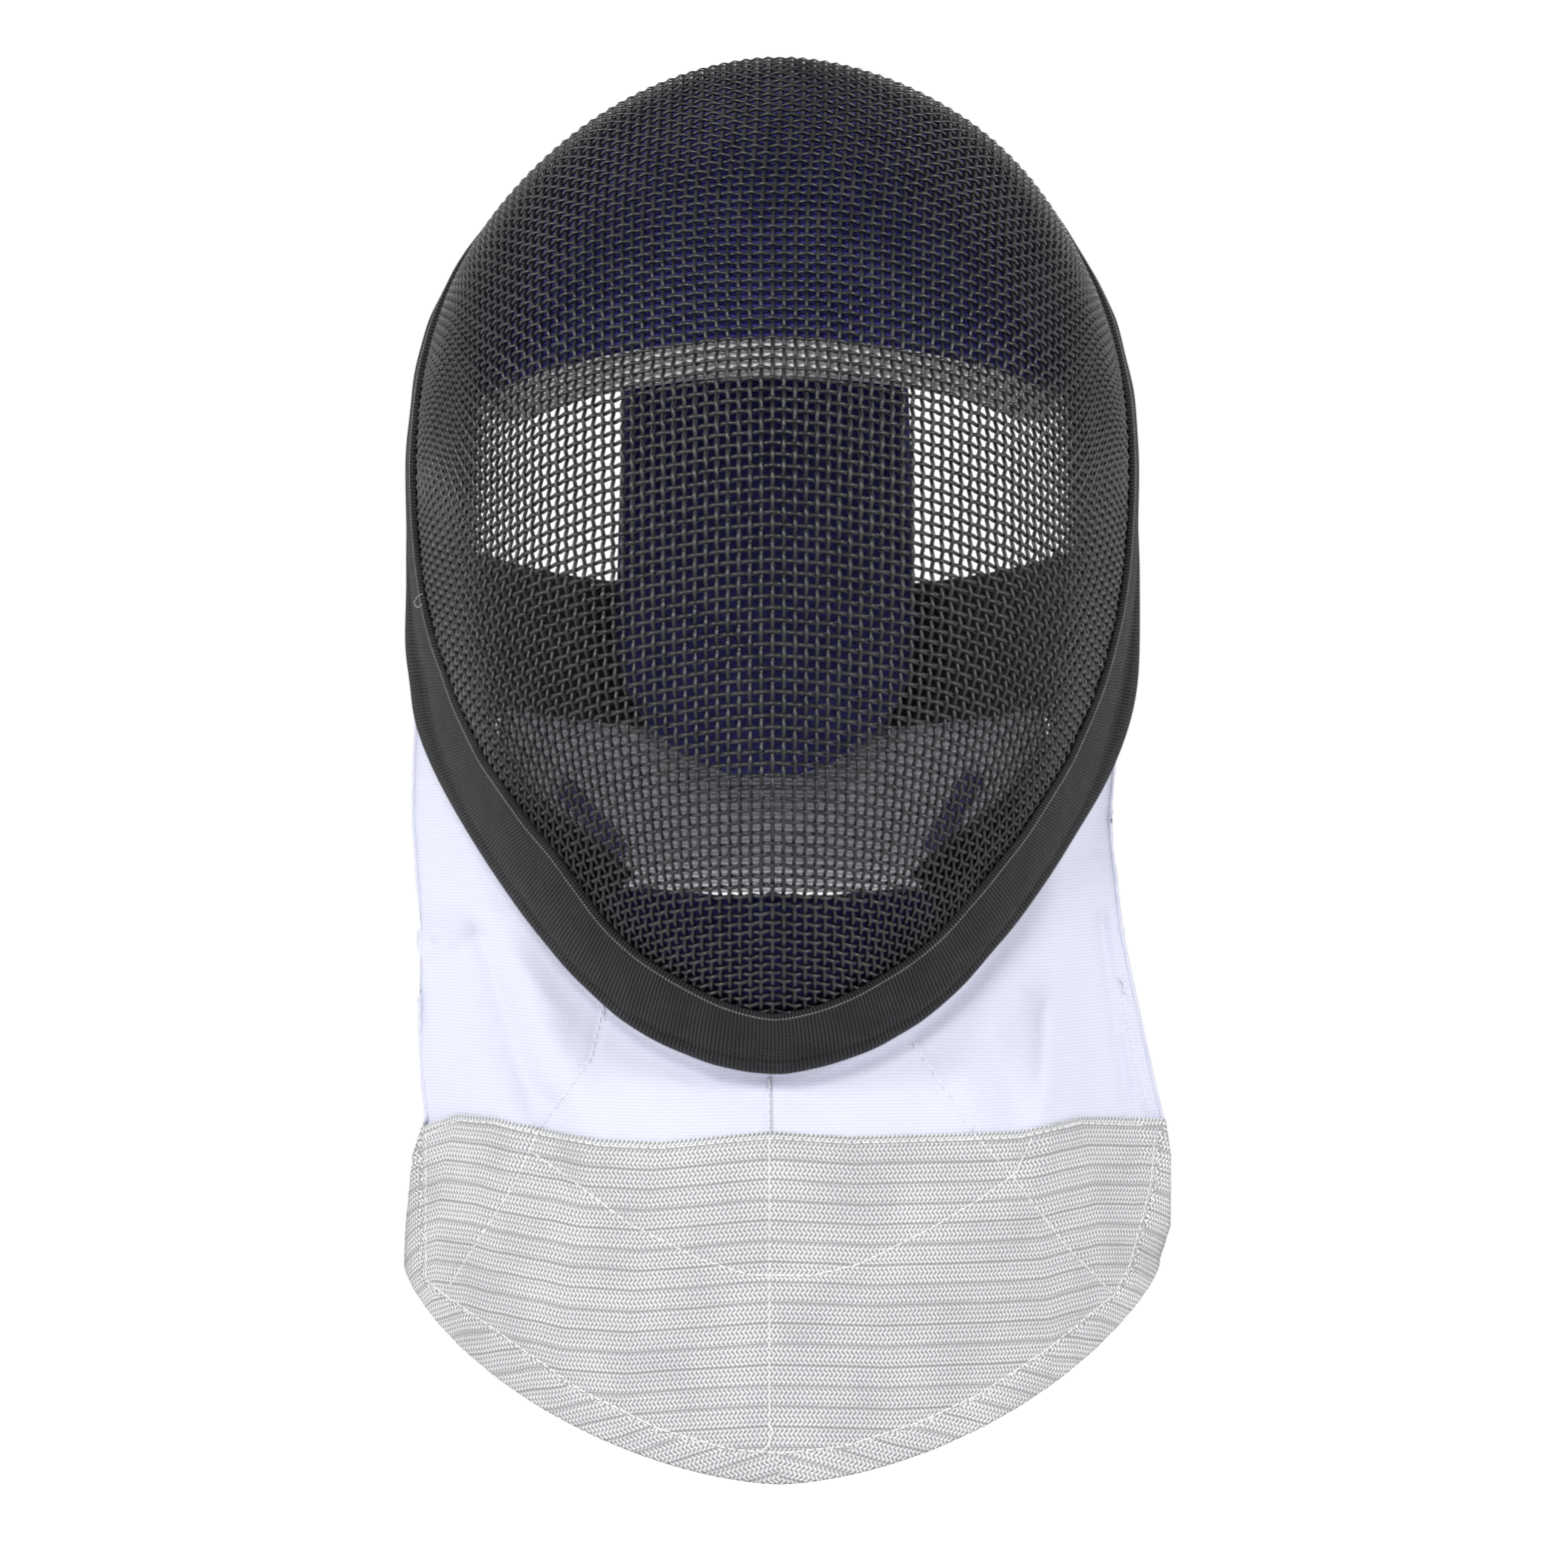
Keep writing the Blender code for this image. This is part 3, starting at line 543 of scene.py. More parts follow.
def make_piece(
    name: str,
    points: np.ndarray,
    quads: np.ndarray,
    material: bpy.types.Material,
    cut: np.ndarray | None = None,
) -> bpy.types.Object:
    """A mesh piece from points measured from the front ridge at eye height.

    Args:
        name: the piece's name.
        points: places of the vertices.
        quads: four vertex numbers a row.
        material: its finish.
        cut: place on the flat cloth of each vertex, or of each face corner, in metres.

    Returns:
        The object, in the row frame.
    """
    mesh = bpy.data.meshes.new(name)
    points = lean_crown(np.asarray(points, float).reshape(-1, 3)) - SEAT
    quads = np.asarray(quads, np.int32).reshape(-1, 4)
    mesh.vertices.add(len(points))
    mesh.vertices.foreach_set("co", points.astype(np.float32).ravel())
    mesh.loops.add(len(quads) * 4)
    mesh.loops.foreach_set("vertex_index", quads.ravel())
    mesh.polygons.add(len(quads))
    mesh.polygons.foreach_set("loop_start", np.arange(0, len(quads) * 4, 4, dtype=np.int32))
    mesh.update(calc_edges=True)
    mesh.validate()
    if cut is not None:
        layer = mesh.uv_layers.new(name="cut")
        place = np.asarray(cut, np.float32).reshape(-1, 2)
        if len(place) == len(points):
            place = place[quads.ravel()]
        layer.data.foreach_set("uv", place.ravel())
    mesh.polygons.foreach_set("use_smooth", np.ones(len(mesh.polygons), bool))
    mesh.materials.append(material)
    piece = bpy.data.objects.new(name, mesh)
    bpy.context.scene.collection.objects.link(piece)
    return piece


def make_wall(
    name: str, front: np.ndarray, back: np.ndarray, material: bpy.types.Material, cut: np.ndarray
) -> bpy.types.Object:
    """A closed wall between two grids of points, cut alike on both faces."""
    points = np.concatenate([front.reshape(-1, 3), back.reshape(-1, 3)])
    cuts = np.concatenate([cut.reshape(-1, 2)] * 2)
    return make_piece(name, points, wall_quads(*front.shape[:2]), material, cuts)


def surface(points: np.ndarray, quads: np.ndarray) -> BVHTree:
    """A surface to lay lines on, in the row frame, from points as make_piece takes them."""
    return BVHTree.FromPolygons((points.reshape(-1, 3) - SEAT).tolist(), quads.tolist())


def swell(pad: bpy.types.Object, held: np.ndarray, reach: float, frames: int = 16) -> None:
    """Lets the cover of a pad fill out over its foam, as cloth under pressure.

    Args:
        pad: the pad, sewn but not yet filled out.
        held: which vertices are sewn down or lie against the cage.
        reach: how far the cover may move.
        frames: steps of the simulation.
    """
    count = len(pad.data.vertices)
    start = np.empty(count * 3, np.float32)
    pad.data.vertices.foreach_get("co", start)
    pad.vertex_groups.new(name="held").add(np.flatnonzero(held).tolist(), 1.0, "REPLACE")
    cloth = pad.modifiers.new("cover", "CLOTH")
    settings = cloth.settings
    settings.quality = 5
    settings.mass = 0.15
    settings.tension_stiffness = settings.compression_stiffness = 12.0
    settings.bending_stiffness = 0.4
    settings.use_pressure = True
    settings.uniform_pressure_force = 4.0
    settings.vertex_group_mass = "held"
    settings.effector_weights.gravity = 0.0
    cloth.collision_settings.use_collision = False
    scene = bpy.context.scene
    for frame in range(1, frames + 1):
        scene.frame_set(frame)
    shaped = pad.evaluated_get(bpy.context.evaluated_depsgraph_get()).data
    moved = np.empty(count * 3, np.float32)
    shaped.vertices.foreach_get("co", moved)
    pad.modifiers.remove(cloth)
    pad.vertex_groups.clear()
    scene.frame_set(1)
    move = (moved - start).reshape(-1, 3)
    length = np.linalg.norm(move, axis=1, keepdims=True)
    move *= np.minimum(1.0, reach / np.maximum(length, 1e-9))
    log.info("%s swelled by up to %.1f mm", pad.name, length.max() / MM)
    pad.data.vertices.foreach_set("co", (start.reshape(-1, 3) + move).ravel())
    pad.data.update()


def enlist(piece: bpy.types.Object, slot: str, *replaced: str) -> bpy.types.Object:
    """Makes a piece ride on the mask and hides the parts that it stands for."""
    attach(piece, "root")
    if replaced:
        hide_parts(*replaced)
    log.info("%s: %d faces", piece.name, len(piece.data.polygons))
    return piece


def grid_quads(rows: int, columns: int, start: int = 0, ring: bool = False) -> np.ndarray:
    """Quads of a grid of vertices, rows by columns, closed round the columns if asked."""
    r, c = np.meshgrid(np.arange(rows - 1), np.arange(columns if ring else columns - 1), indexing="ij")
    n = (c + 1) % columns
    a = start + r * columns
    return np.stack([a + c, a + n, a + columns + n, a + columns + c], axis=-1).reshape(-1, 4)


def wall_quads(rows: int, columns: int) -> np.ndarray:
    """Quads of a closed wall between two grids, the first facing out."""
    count = rows * columns
    faces = [grid_quads(rows, columns), grid_quads(rows, columns, count)[:, ::-1]]
    row = np.arange(columns)
    col = np.arange(rows) * columns
    for edge, turn in (
        (row, True),
        (row + (rows - 1) * columns, False),
        (col, False),
        (col + columns - 1, True),
    ):
        a, b = edge[:-1], edge[1:]
        side = np.stack([a, b, b + count, a + count], axis=1)
        faces.append(side[:, ::-1] if turn else side)
    return np.concatenate(faces)


def front_normals(grid: np.ndarray) -> np.ndarray:
    """Normals of a grid of points, on the side that mostly faces the front."""
    normal = unit(np.cross(np.gradient(grid, axis=1), np.gradient(grid, axis=0)))
    return normal * -np.sign(normal[..., 1].mean())


@dataclass
class TubeBundle:
    """Many thin tubes gathered into one mesh."""

    radius: float
    sides: int = 5
    points: list = field(default_factory=list)
    quads: list = field(default_factory=list)
    count: int = 0

    def lay(self, path: np.ndarray, up: np.ndarray, thickness: np.ndarray | float = 1.0) -> None:
        """Adds one tube.

        Args:
            path: points of its middle line.
            up: a direction square to it at each point.
            thickness: share of the radius at each point.
        """
        ahead = unit(np.gradient(path, axis=0))
        side = unit(np.cross(ahead, up))
        up = np.cross(side, ahead)
        angle = np.linspace(0, 2 * math.pi, self.sides, endpoint=False) + math.pi / 2
        reach = self.radius * np.broadcast_to(thickness, (len(path),))[:, None, None]
        ring = np.cos(angle)[None, :, None] * side[:, None] + np.sin(angle)[None, :, None] * up[:, None]
        self.points.append((path[:, None] + reach * ring).reshape(-1, 3))
        self.quads.append(grid_quads(len(path), self.sides, self.count, ring=True))
        self.count += len(path) * self.sides

    def make(self, name: str, material: bpy.types.Material) -> bpy.types.Object:
        """The gathered tubes as one piece."""
        return make_piece(name, np.concatenate(self.points), np.concatenate(self.quads), material)


@dataclass(frozen=True)
class Stitch:
    """One kind of stitch: its thread, its spacing, how much of it shows and how far it stands up."""

    radius: float
    pitch: float
    length: float
    lift: float
    sides: int = 5
    # share along the stitch, its height there, and how thick the thread is
    arc: tuple = ((0.0, -0.9, 0.5), (0.15, 0.4, 0.95), (0.5, 1.0, 1.0), (0.85, 0.4, 0.95), (1.0, -0.9, 0.5))

    def thread(self) -> TubeBundle:
        """An empty bundle of its thread."""
        return TubeBundle(self.radius, self.sides)

    def sew(self, bundle: TubeBundle, line: np.ndarray) -> None:
        """Adds a row of stitches to a bundle, along points with their normals in six columns."""
        along, rise, thick = np.array(self.arc).T
        fine = spaced(line, self.length / 4)
        run = np.arange(len(fine)) * self.length / 4
        for start in np.arange(0.0, run[-1] - self.length, self.pitch):
            at = start + self.length * along
            row = np.stack([np.interp(at, run, fine[:, k]) for k in range(6)], axis=1)
            up = unit(row[:, 3:])
            bundle.lay(row[:, :3] + up * (self.lift * rise)[:, None], up, thick)


def lay_loose(bundle: TubeBundle, line: np.ndarray, lift: float) -> None:
    """Adds a loose bit of thread that lies a little over the cloth."""
    if len(line) > 3:
        bundle.lay(line[:, :3] + line[:, 3:] * lift, line[:, 3:])


# ---------------------------------------------------------------- where it is looked at from


@dataclass(frozen=True)
class Viewpoint:
    """Straight ahead of the mask, level with the eyes."""

    distance: float = 1.4
    # pixels to a metre on the front plane, the frame's width and the middle plane's column in pixels
    scale: float = 3700.0
    frame: float = 1569.0
    axis: float = 773.0
    sensor: float = 36.0

    def eye(self) -> Vector:
        """The camera's place in the row frame."""
        return Vector((0.0, -self.distance - SEAT[1], -SEAT[2]))

    def flat(self, points: np.ndarray) -> np.ndarray:
        """Where points fall on the front plane as seen from the camera, in metres."""
        share = self.distance / (self.distance + points[..., 1])
        return np.stack([points[..., 0] * share, points[..., 2] * share], axis=-1)

    def drop(self, tree: BVHTree, marks: tuple, step: float = 0.8 * MM) -> np.ndarray:
        """Lays a line of front-view marks on to a surface.

        Args:
            tree: the surface, in the row frame.
            marks: (across, up) in millimetres on the front plane.
            step: spacing of the points along it.

        Returns:
            Points from the front ridge and their normals, six columns.
        """
        marks = np.array(marks, float) * MM
        plane = np.stack([marks[:, 0], np.zeros(len(marks)), marks[:, 1]], axis=1)
        found = []
        for x, _, z in spaced(plane, step):
            aim = Vector((x, -SEAT[1], z - SEAT[2])) - self.eye()
            hit, normal, _, _ = tree.ray_cast(self.eye(), aim.normalized())
            if hit is not None:
                facing = normal if normal.dot(aim) < 0 else -normal
                found.append([*(np.array(hit) + SEAT), *facing])
        return np.array(found)

    def camera(self) -> None:
        """Sets the scene's camera."""
        data = bpy.data.cameras.new("camera")
        data.sensor_width = self.sensor
        data.lens = self.sensor * self.distance * self.scale / self.frame
        data.shift_x = (self.frame / 2 - self.axis) / self.frame
        camera = bpy.data.objects.new("camera", data)
        camera.location = self.eye()
        camera.rotation_euler = (math.pi / 2, 0.0, 0.0)
        bpy.context.scene.collection.objects.link(camera)
        bpy.context.scene.camera = camera


# ---------------------------------------------------------------- the cage's form


@dataclass
class CageForm:
    """Outer face of the cage as contours by depth, each a full curve round the front ridge."""

    depth: float = 198 * MM
    height: float = 292.5 * MM
    half_width: float = 106.6 * MM
    chin_below_eyes: float = 80 * MM
    wall: float = 2.0 * MM
    ridge_front: float = 1.66
    ridge_back: float = 1.92
    crown_front: float = 2.0
    crown_back: float = 2.37
    jaw: float = 1.80
    # step back, then top, bottom and middle as shares of the height, and half width as a share of its own
    sections: tuple = (
        (0.000, 0.479, 0.315, 0.403, 0.000),
        (0.071, 0.550, 0.260, 0.405, 0.075),
        (0.142, 0.600, 0.224, 0.409, 0.160),
        (0.213, 0.646, 0.185, 0.417, 0.272),
        (0.302, 0.706, 0.142, 0.427, 0.425),
        (0.383, 0.766, 0.101, 0.444, 0.566),
        (0.466, 0.831, 0.055, 0.465, 0.700),
        (0.555, 0.895, -0.014, 0.492, 0.814),
        (0.636, 0.942, -0.070, 0.516, 0.884),
        (0.752, 0.994, -0.164, 0.550, 0.968),
        (0.826, 1.003, -0.246, 0.571, 0.997),
        (0.870, 1.000, -0.301, 0.581, 1.004),
        (0.940, 0.982, -0.393, 0.591, 1.004),
        (1.000, 0.948, -0.462, 0.598, 0.994),
        (1.060, 0.896, -0.520, 0.602, 0.975),
    )
    # height, depth of the rim there, each a share of the cage's
    rim_line: tuple = (
        (-0.20, 0.200), (0.000, 0.288), (0.048, 0.333), (0.123, 0.394), (0.198, 0.478),
        (0.277, 0.578), (0.359, 0.664), (0.458, 0.726), (0.585, 0.772), (0.691, 0.813),
        (0.776, 0.864), (0.862, 0.919), (0.923, 0.970), (0.944, 1.000), (1.020, 1.090),
    )

    def __post_init__(self) -> None:
        """Works out the smooth curves from the tables."""
        step, *heights, wide = np.array(self.sections).T
        low = -self.chin_below_eyes
        self.top, self.bottom, self.middle = (smooth_curve(step, h * self.height + low) for h in heights)
        self.wide = smooth_curve(step, wide * self.half_width)
        rim = np.array(self.rim_line)
        self.rim_depth = smooth_curve(rim[:, 0] * self.height + low, rim[:, 1] * self.depth)

    def point(self, step: np.ndarray, turn: np.ndarray) -> np.ndarray:
        """Point of the outer face, step back from the ridge, turn in degrees from the top."""
        step, turn = np.broadcast_arrays(np.asarray(step, float), np.radians(np.asarray(turn, float)))
        share = np.clip(step, 0.0, 1.0)
        ridge = self.ridge_front + (self.ridge_back - self.ridge_front) * share
        side, up = np.sin(turn), np.cos(turn)
        x = self.wide(step) * np.sign(side) * np.abs(side) ** (2 / ridge)
        middle = self.middle(step)
        crown = self.crown_front + (self.crown_back - self.crown_front) * share
        rise = np.where(up >= 0, self.top(step) - middle, middle - self.bottom(step))
        z = middle + rise * np.sign(up) * np.abs(up) ** np.where(up >= 0, 2 / crown, 2 / self.jaw)
        return np.stack([x, self.depth * step**2, z], axis=-1)

    def normal(self, step: np.ndarray, turn: np.ndarray) -> np.ndarray:
        """Unit normals of the outer face, facing out."""
        step = np.maximum(np.asarray(step, float), 0.03)
        along = self.point(step + 0.012, turn) - self.point(step - 0.012, turn)
        across = self.point(step, np.asarray(turn) + 2.5) - self.point(step, np.asarray(turn) - 2.5)
        return unit(np.cross(across, along))

    def offset(self, step: np.ndarray, turn: np.ndarray, out: np.ndarray | float) -> np.ndarray:
        """Points at a distance out from the outer face, inwards when negative."""
        return self.point(step, turn) + self.normal(step, turn) * np.asarray(out, float)[..., None]

    def solve(self, test: Callable, turn: np.ndarray, low: float, high: float) -> np.ndarray:
        """Step between low and high where a test of the point turns positive, for each turn."""
        turn = np.asarray(turn, float)
        low, high = np.full(turn.shape, float(low)), np.full(turn.shape, float(high))
        for _ in range(34):
            middle = (low + high) / 2
            past = test(self.point(middle, turn)) > 0
            high = np.where(past, middle, high)
            low = np.where(past, low, middle)
        return (low + high) / 2

    def rim(self, turn: np.ndarray) -> np.ndarray:
        """Step at which the cage ends, for each turn."""
        return self.solve(lambda p: p[..., 1] - self.rim_depth(p[..., 2]), turn, 0.3, 1.05)

    def in_from_rim(self, turn: np.ndarray, width: np.ndarray) -> np.ndarray:
        """Step that lies a width in from the rim, measured square to it."""
        turn = np.asarray(turn, float)
        edge = self.rim(turn)
        along = self.point(edge + 0.004, turn) - self.point(edge - 0.004, turn)
        per_step = np.linalg.norm(along, axis=-1) / 0.008
        rim = unit(
            self.point(self.rim(turn + 1.0), turn + 1.0) - self.point(self.rim(turn - 1.0), turn - 1.0)
        )
        square = np.sqrt(np.clip(1 - np.sum(rim * unit(along), axis=-1) ** 2, 0.3, 1.0))
        return edge - width / (per_step * square)


# ---------------------------------------------------------------- the woven wires


@dataclass
class WireCage:
    """Woven wire cloth pressed to the cage's form, with every wire crimped over and under."""

    form: CageForm
    view: Viewpoint
    pitch: float = 3.24 * MM
    wire: float = 1.22 * MM
    trim: float = 4.0 * MM
    base_height: float = 77 * MM
    plain_step: float = 0.752
    spread: float = 0.035
    # the uprights bend below this height, down to so far below it, mm
    lean: float = 3.0e-5 / 81.0
    lean_from: float = 62.0
    lean_reach: float = 112.0
    # how finely the cage is searched: steps back, turns round, and the widest wire looked for
    last_step: float = 1.055
    steps: int = 260
    turns: int = 1101
    probes: int = 240
    probe_reach: float = 100 * MM
    half_rows: int = 205
    # across, fall of the level wires from the middle, mm
    fall: tuple = (
        (0, 0.0), (16, 1.1), (33, 3.4), (49, 6.6), (66, 11.6), (84, 20.0), (98, 31.0), (112, 44.0),
    )

    def share_of(self, points: np.ndarray, step: np.ndarray) -> np.ndarray:
        """Which upright wire a point lies on, as its distance from the middle in the front view."""
        seen = 1 + points[..., 1] / self.view.distance
        behind = self.form.depth * self.plain_step**2
        start = self.form.wide(self.plain_step) / (1 + behind / self.view.distance)
        further = start + self.spread * (step - self.plain_step)
        scale = np.where(step > self.plain_step, self.form.wide(step) / further, seen)
        across = np.maximum(points[..., 0], 0) / scale / MM
        low = np.clip(self.lean_from - points[..., 2] / MM, 0, self.lean_reach) ** 2
        bend = np.maximum(self.lean * low, 1e-9)
        root = np.sqrt(np.maximum(1 - 4 * bend * across, 0.0))
        return (1 - root) / (2 * bend) * MM

    def uprights(self, shares: np.ndarray) -> list:
        """The line of each upright wire over the cage, on the right half.

        Args:
            shares: distance of each from the middle in the front view.

        Returns:
            For each, points and normals in six columns, from the top to the chin.
        """
        steps = np.linspace(0.0, self.last_step, self.steps)
        away = np.linspace(-1, 1, self.turns)
        turns = 90 + 90 * np.sign(away) * (1 - (1 - np.abs(away)) ** 3)
        grid = self.form.point(steps[:, None], turns[None, :])
        share = self.share_of(grid, steps[:, None] * np.ones(len(turns))[None, :])
        share = np.maximum.accumulate(share + np.arange(len(steps))[:, None] * 1e-9, axis=0)
        lines = []
        for wanted in shares:
            above = share > wanted
            has = above[-1]
            first = np.clip(np.argmax(above, axis=0), 1, len(steps) - 1)
            cols = np.arange(len(turns))
            a, b = share[first - 1, cols], share[first, cols]
            part = np.clip((wanted - a) / np.maximum(b - a, 1e-12), 0, 1)
            step = steps[first - 1] + (steps[first] - steps[first - 1]) * part
            step, turn = step[has], turns[has]
            lines.append(np.concatenate([self.form.point(step, turn), self.form.normal(step, turn)], axis=1))
        return lines

    def base_run(self, line: np.ndarray) -> tuple[float, np.ndarray] | None:
        """Length down an upright to where the base wire crosses it, and the crossing."""
        fall = np.array(self.fall) * MM
        level = self.base_height - np.interp(line[:, 0], fall[:, 0], fall[:, 1])
        over = line[:, 2] - level
        cross = np.flatnonzero((over[:-1] > 0) & (over[1:] <= 0))
        if not len(cross):
            return None
        i = cross[0]
        part = over[i] / (over[i] - over[i + 1])
        run = np.linalg.norm(np.diff(line[: i + 2, :3], axis=0), axis=1)
        return run[:i].sum() + run[i] * part, line[i, :3] + (line[i + 1, :3] - line[i, :3]) * part

    def net(self) -> tuple[np.ndarray, np.ndarray, np.ndarray]:
        """The cloth laid on the cage at half-pitch steps.

        Returns:
            Points and normals by (across, down), and which of them are inside the rim.
        """
        probe = np.linspace(0.02 * MM, self.probe_reach, self.probes)
        crossings = []
        for share, line in zip(probe, self.uprights(probe)):
            found = self.base_run(line) if len(line) > 3 else None
            if found is not None:
                crossings.append((share, *found[1]))
        crossings = np.array(crossings)
        run = run_along(crossings[:, 1:])
        half = self.pitch / 2
        many = int(run[-1] / half)
        shares = np.interp(np.arange(many + 1) * half, run, crossings[:, 0])
        reach = self.half_rows
        points = np.full((many + 1, 2 * reach + 1, 3), np.nan)
        normals = np.full_like(points, np.nan)
        for i, line in enumerate(self.uprights(shares)):
            found = self.base_run(line)
            if found is None:
                continue
            length = run_along(line)
            at = found[0] + np.arange(-reach, reach + 1) * half
            inside = (at >= 0) & (at <= length[-1])
            place = np.stack([np.interp(at[inside], length, line[:, k]) for k in range(6)], axis=1)
            if i == 0:
                place[:, 0] = 0.0
                place[:, 3] = 0.0
            points[i, inside] = place[:, :3]
            normals[i, inside] = unit(place[:, 3:])
        flip = np.array([-1.0, 1.0, 1.0])
        points = np.concatenate([points[:0:-1] * flip, points])
        normals = np.concatenate([normals[:0:-1] * flip, normals])
        with np.errstate(invalid="ignore"):
            inside = points[..., 1] < self.form.rim_depth(np.nan_to_num(points[..., 2])) - self.trim
        return points, normals, inside & np.isfinite(points[..., 0])

    def runs(self, flags: np.ndarray) -> list[tuple[int, int]]:
        """First and last index of each unbroken run of flags of four or more."""
        edges = np.flatnonzero(np.diff(np.concatenate([[0], flags.astype(int), [0]])))
        return [(a, b) for a, b in zip(edges[::2], edges[1::2]) if b - a >= 4]

    def weave(self, thread: Thread, net: tuple, pick: Callable[[int], bool]) -> TubeBundle:
        """The wires of one set that pass a test of their number.

        Args:
            thread: upright or level wires.
            net: points, normals and flags of the cloth.
            pick: test of a wire's place across or down.

        Returns:
            Their tubes.
        """
        points, normals, inside = net
        middle = (points.shape[0] - 1) // 2, (points.shape[1] - 1) // 2
        bundle = TubeBundle(self.wire / 2)
        axis = 0 if thread is Thread.WARP else 1
        for n in range(middle[axis] % 2, points.shape[axis], 2):
            if not pick(n - middle[axis]):
                continue
            line = points[n] if axis == 0 else points[:, n]
            up = normals[n] if axis == 0 else normals[:, n]
            flags = inside[n] if axis == 0 else inside[:, n]
            for a, b in self.runs(flags):
                k = np.arange(a, b)
                cross = k - middle[1 - axis]
                over = np.where((cross // 2 + (n - middle[axis]) // 2) % 2 == 0, 1.0, -1.0)
                rise = np.where(cross % 2 == 0, over, 0.0) * (1 if axis == 0 else -1)
                height = rise * self.wire * 0.5 - self.form.wall / 2
                bundle.lay(line[k] + up[k] * height[:, None], up[k])
        return bundle

    def make(self) -> list[bpy.types.Object]:
        """All the wires, in four pieces."""
        net = self.net()
        paint = WirePaint().make()
        pieces = []
        for name, thread, pick in (
            ("upright_wires_left", Thread.WARP, lambda n: n < 0),
            ("upright_wires_right", Thread.WARP, lambda n: n >= 0),
            ("level_wires_upper", Thread.WEFT, lambda n: n < 0),
            ("level_wires_lower", Thread.WEFT, lambda n: n >= 0),
        ):
            piece = self.weave(thread, net, pick).make(name, paint)
            pieces.append(enlist(piece, "wire_mesh", "wire_mesh"))
        return pieces


# ---------------------------------------------------------------- the edge band


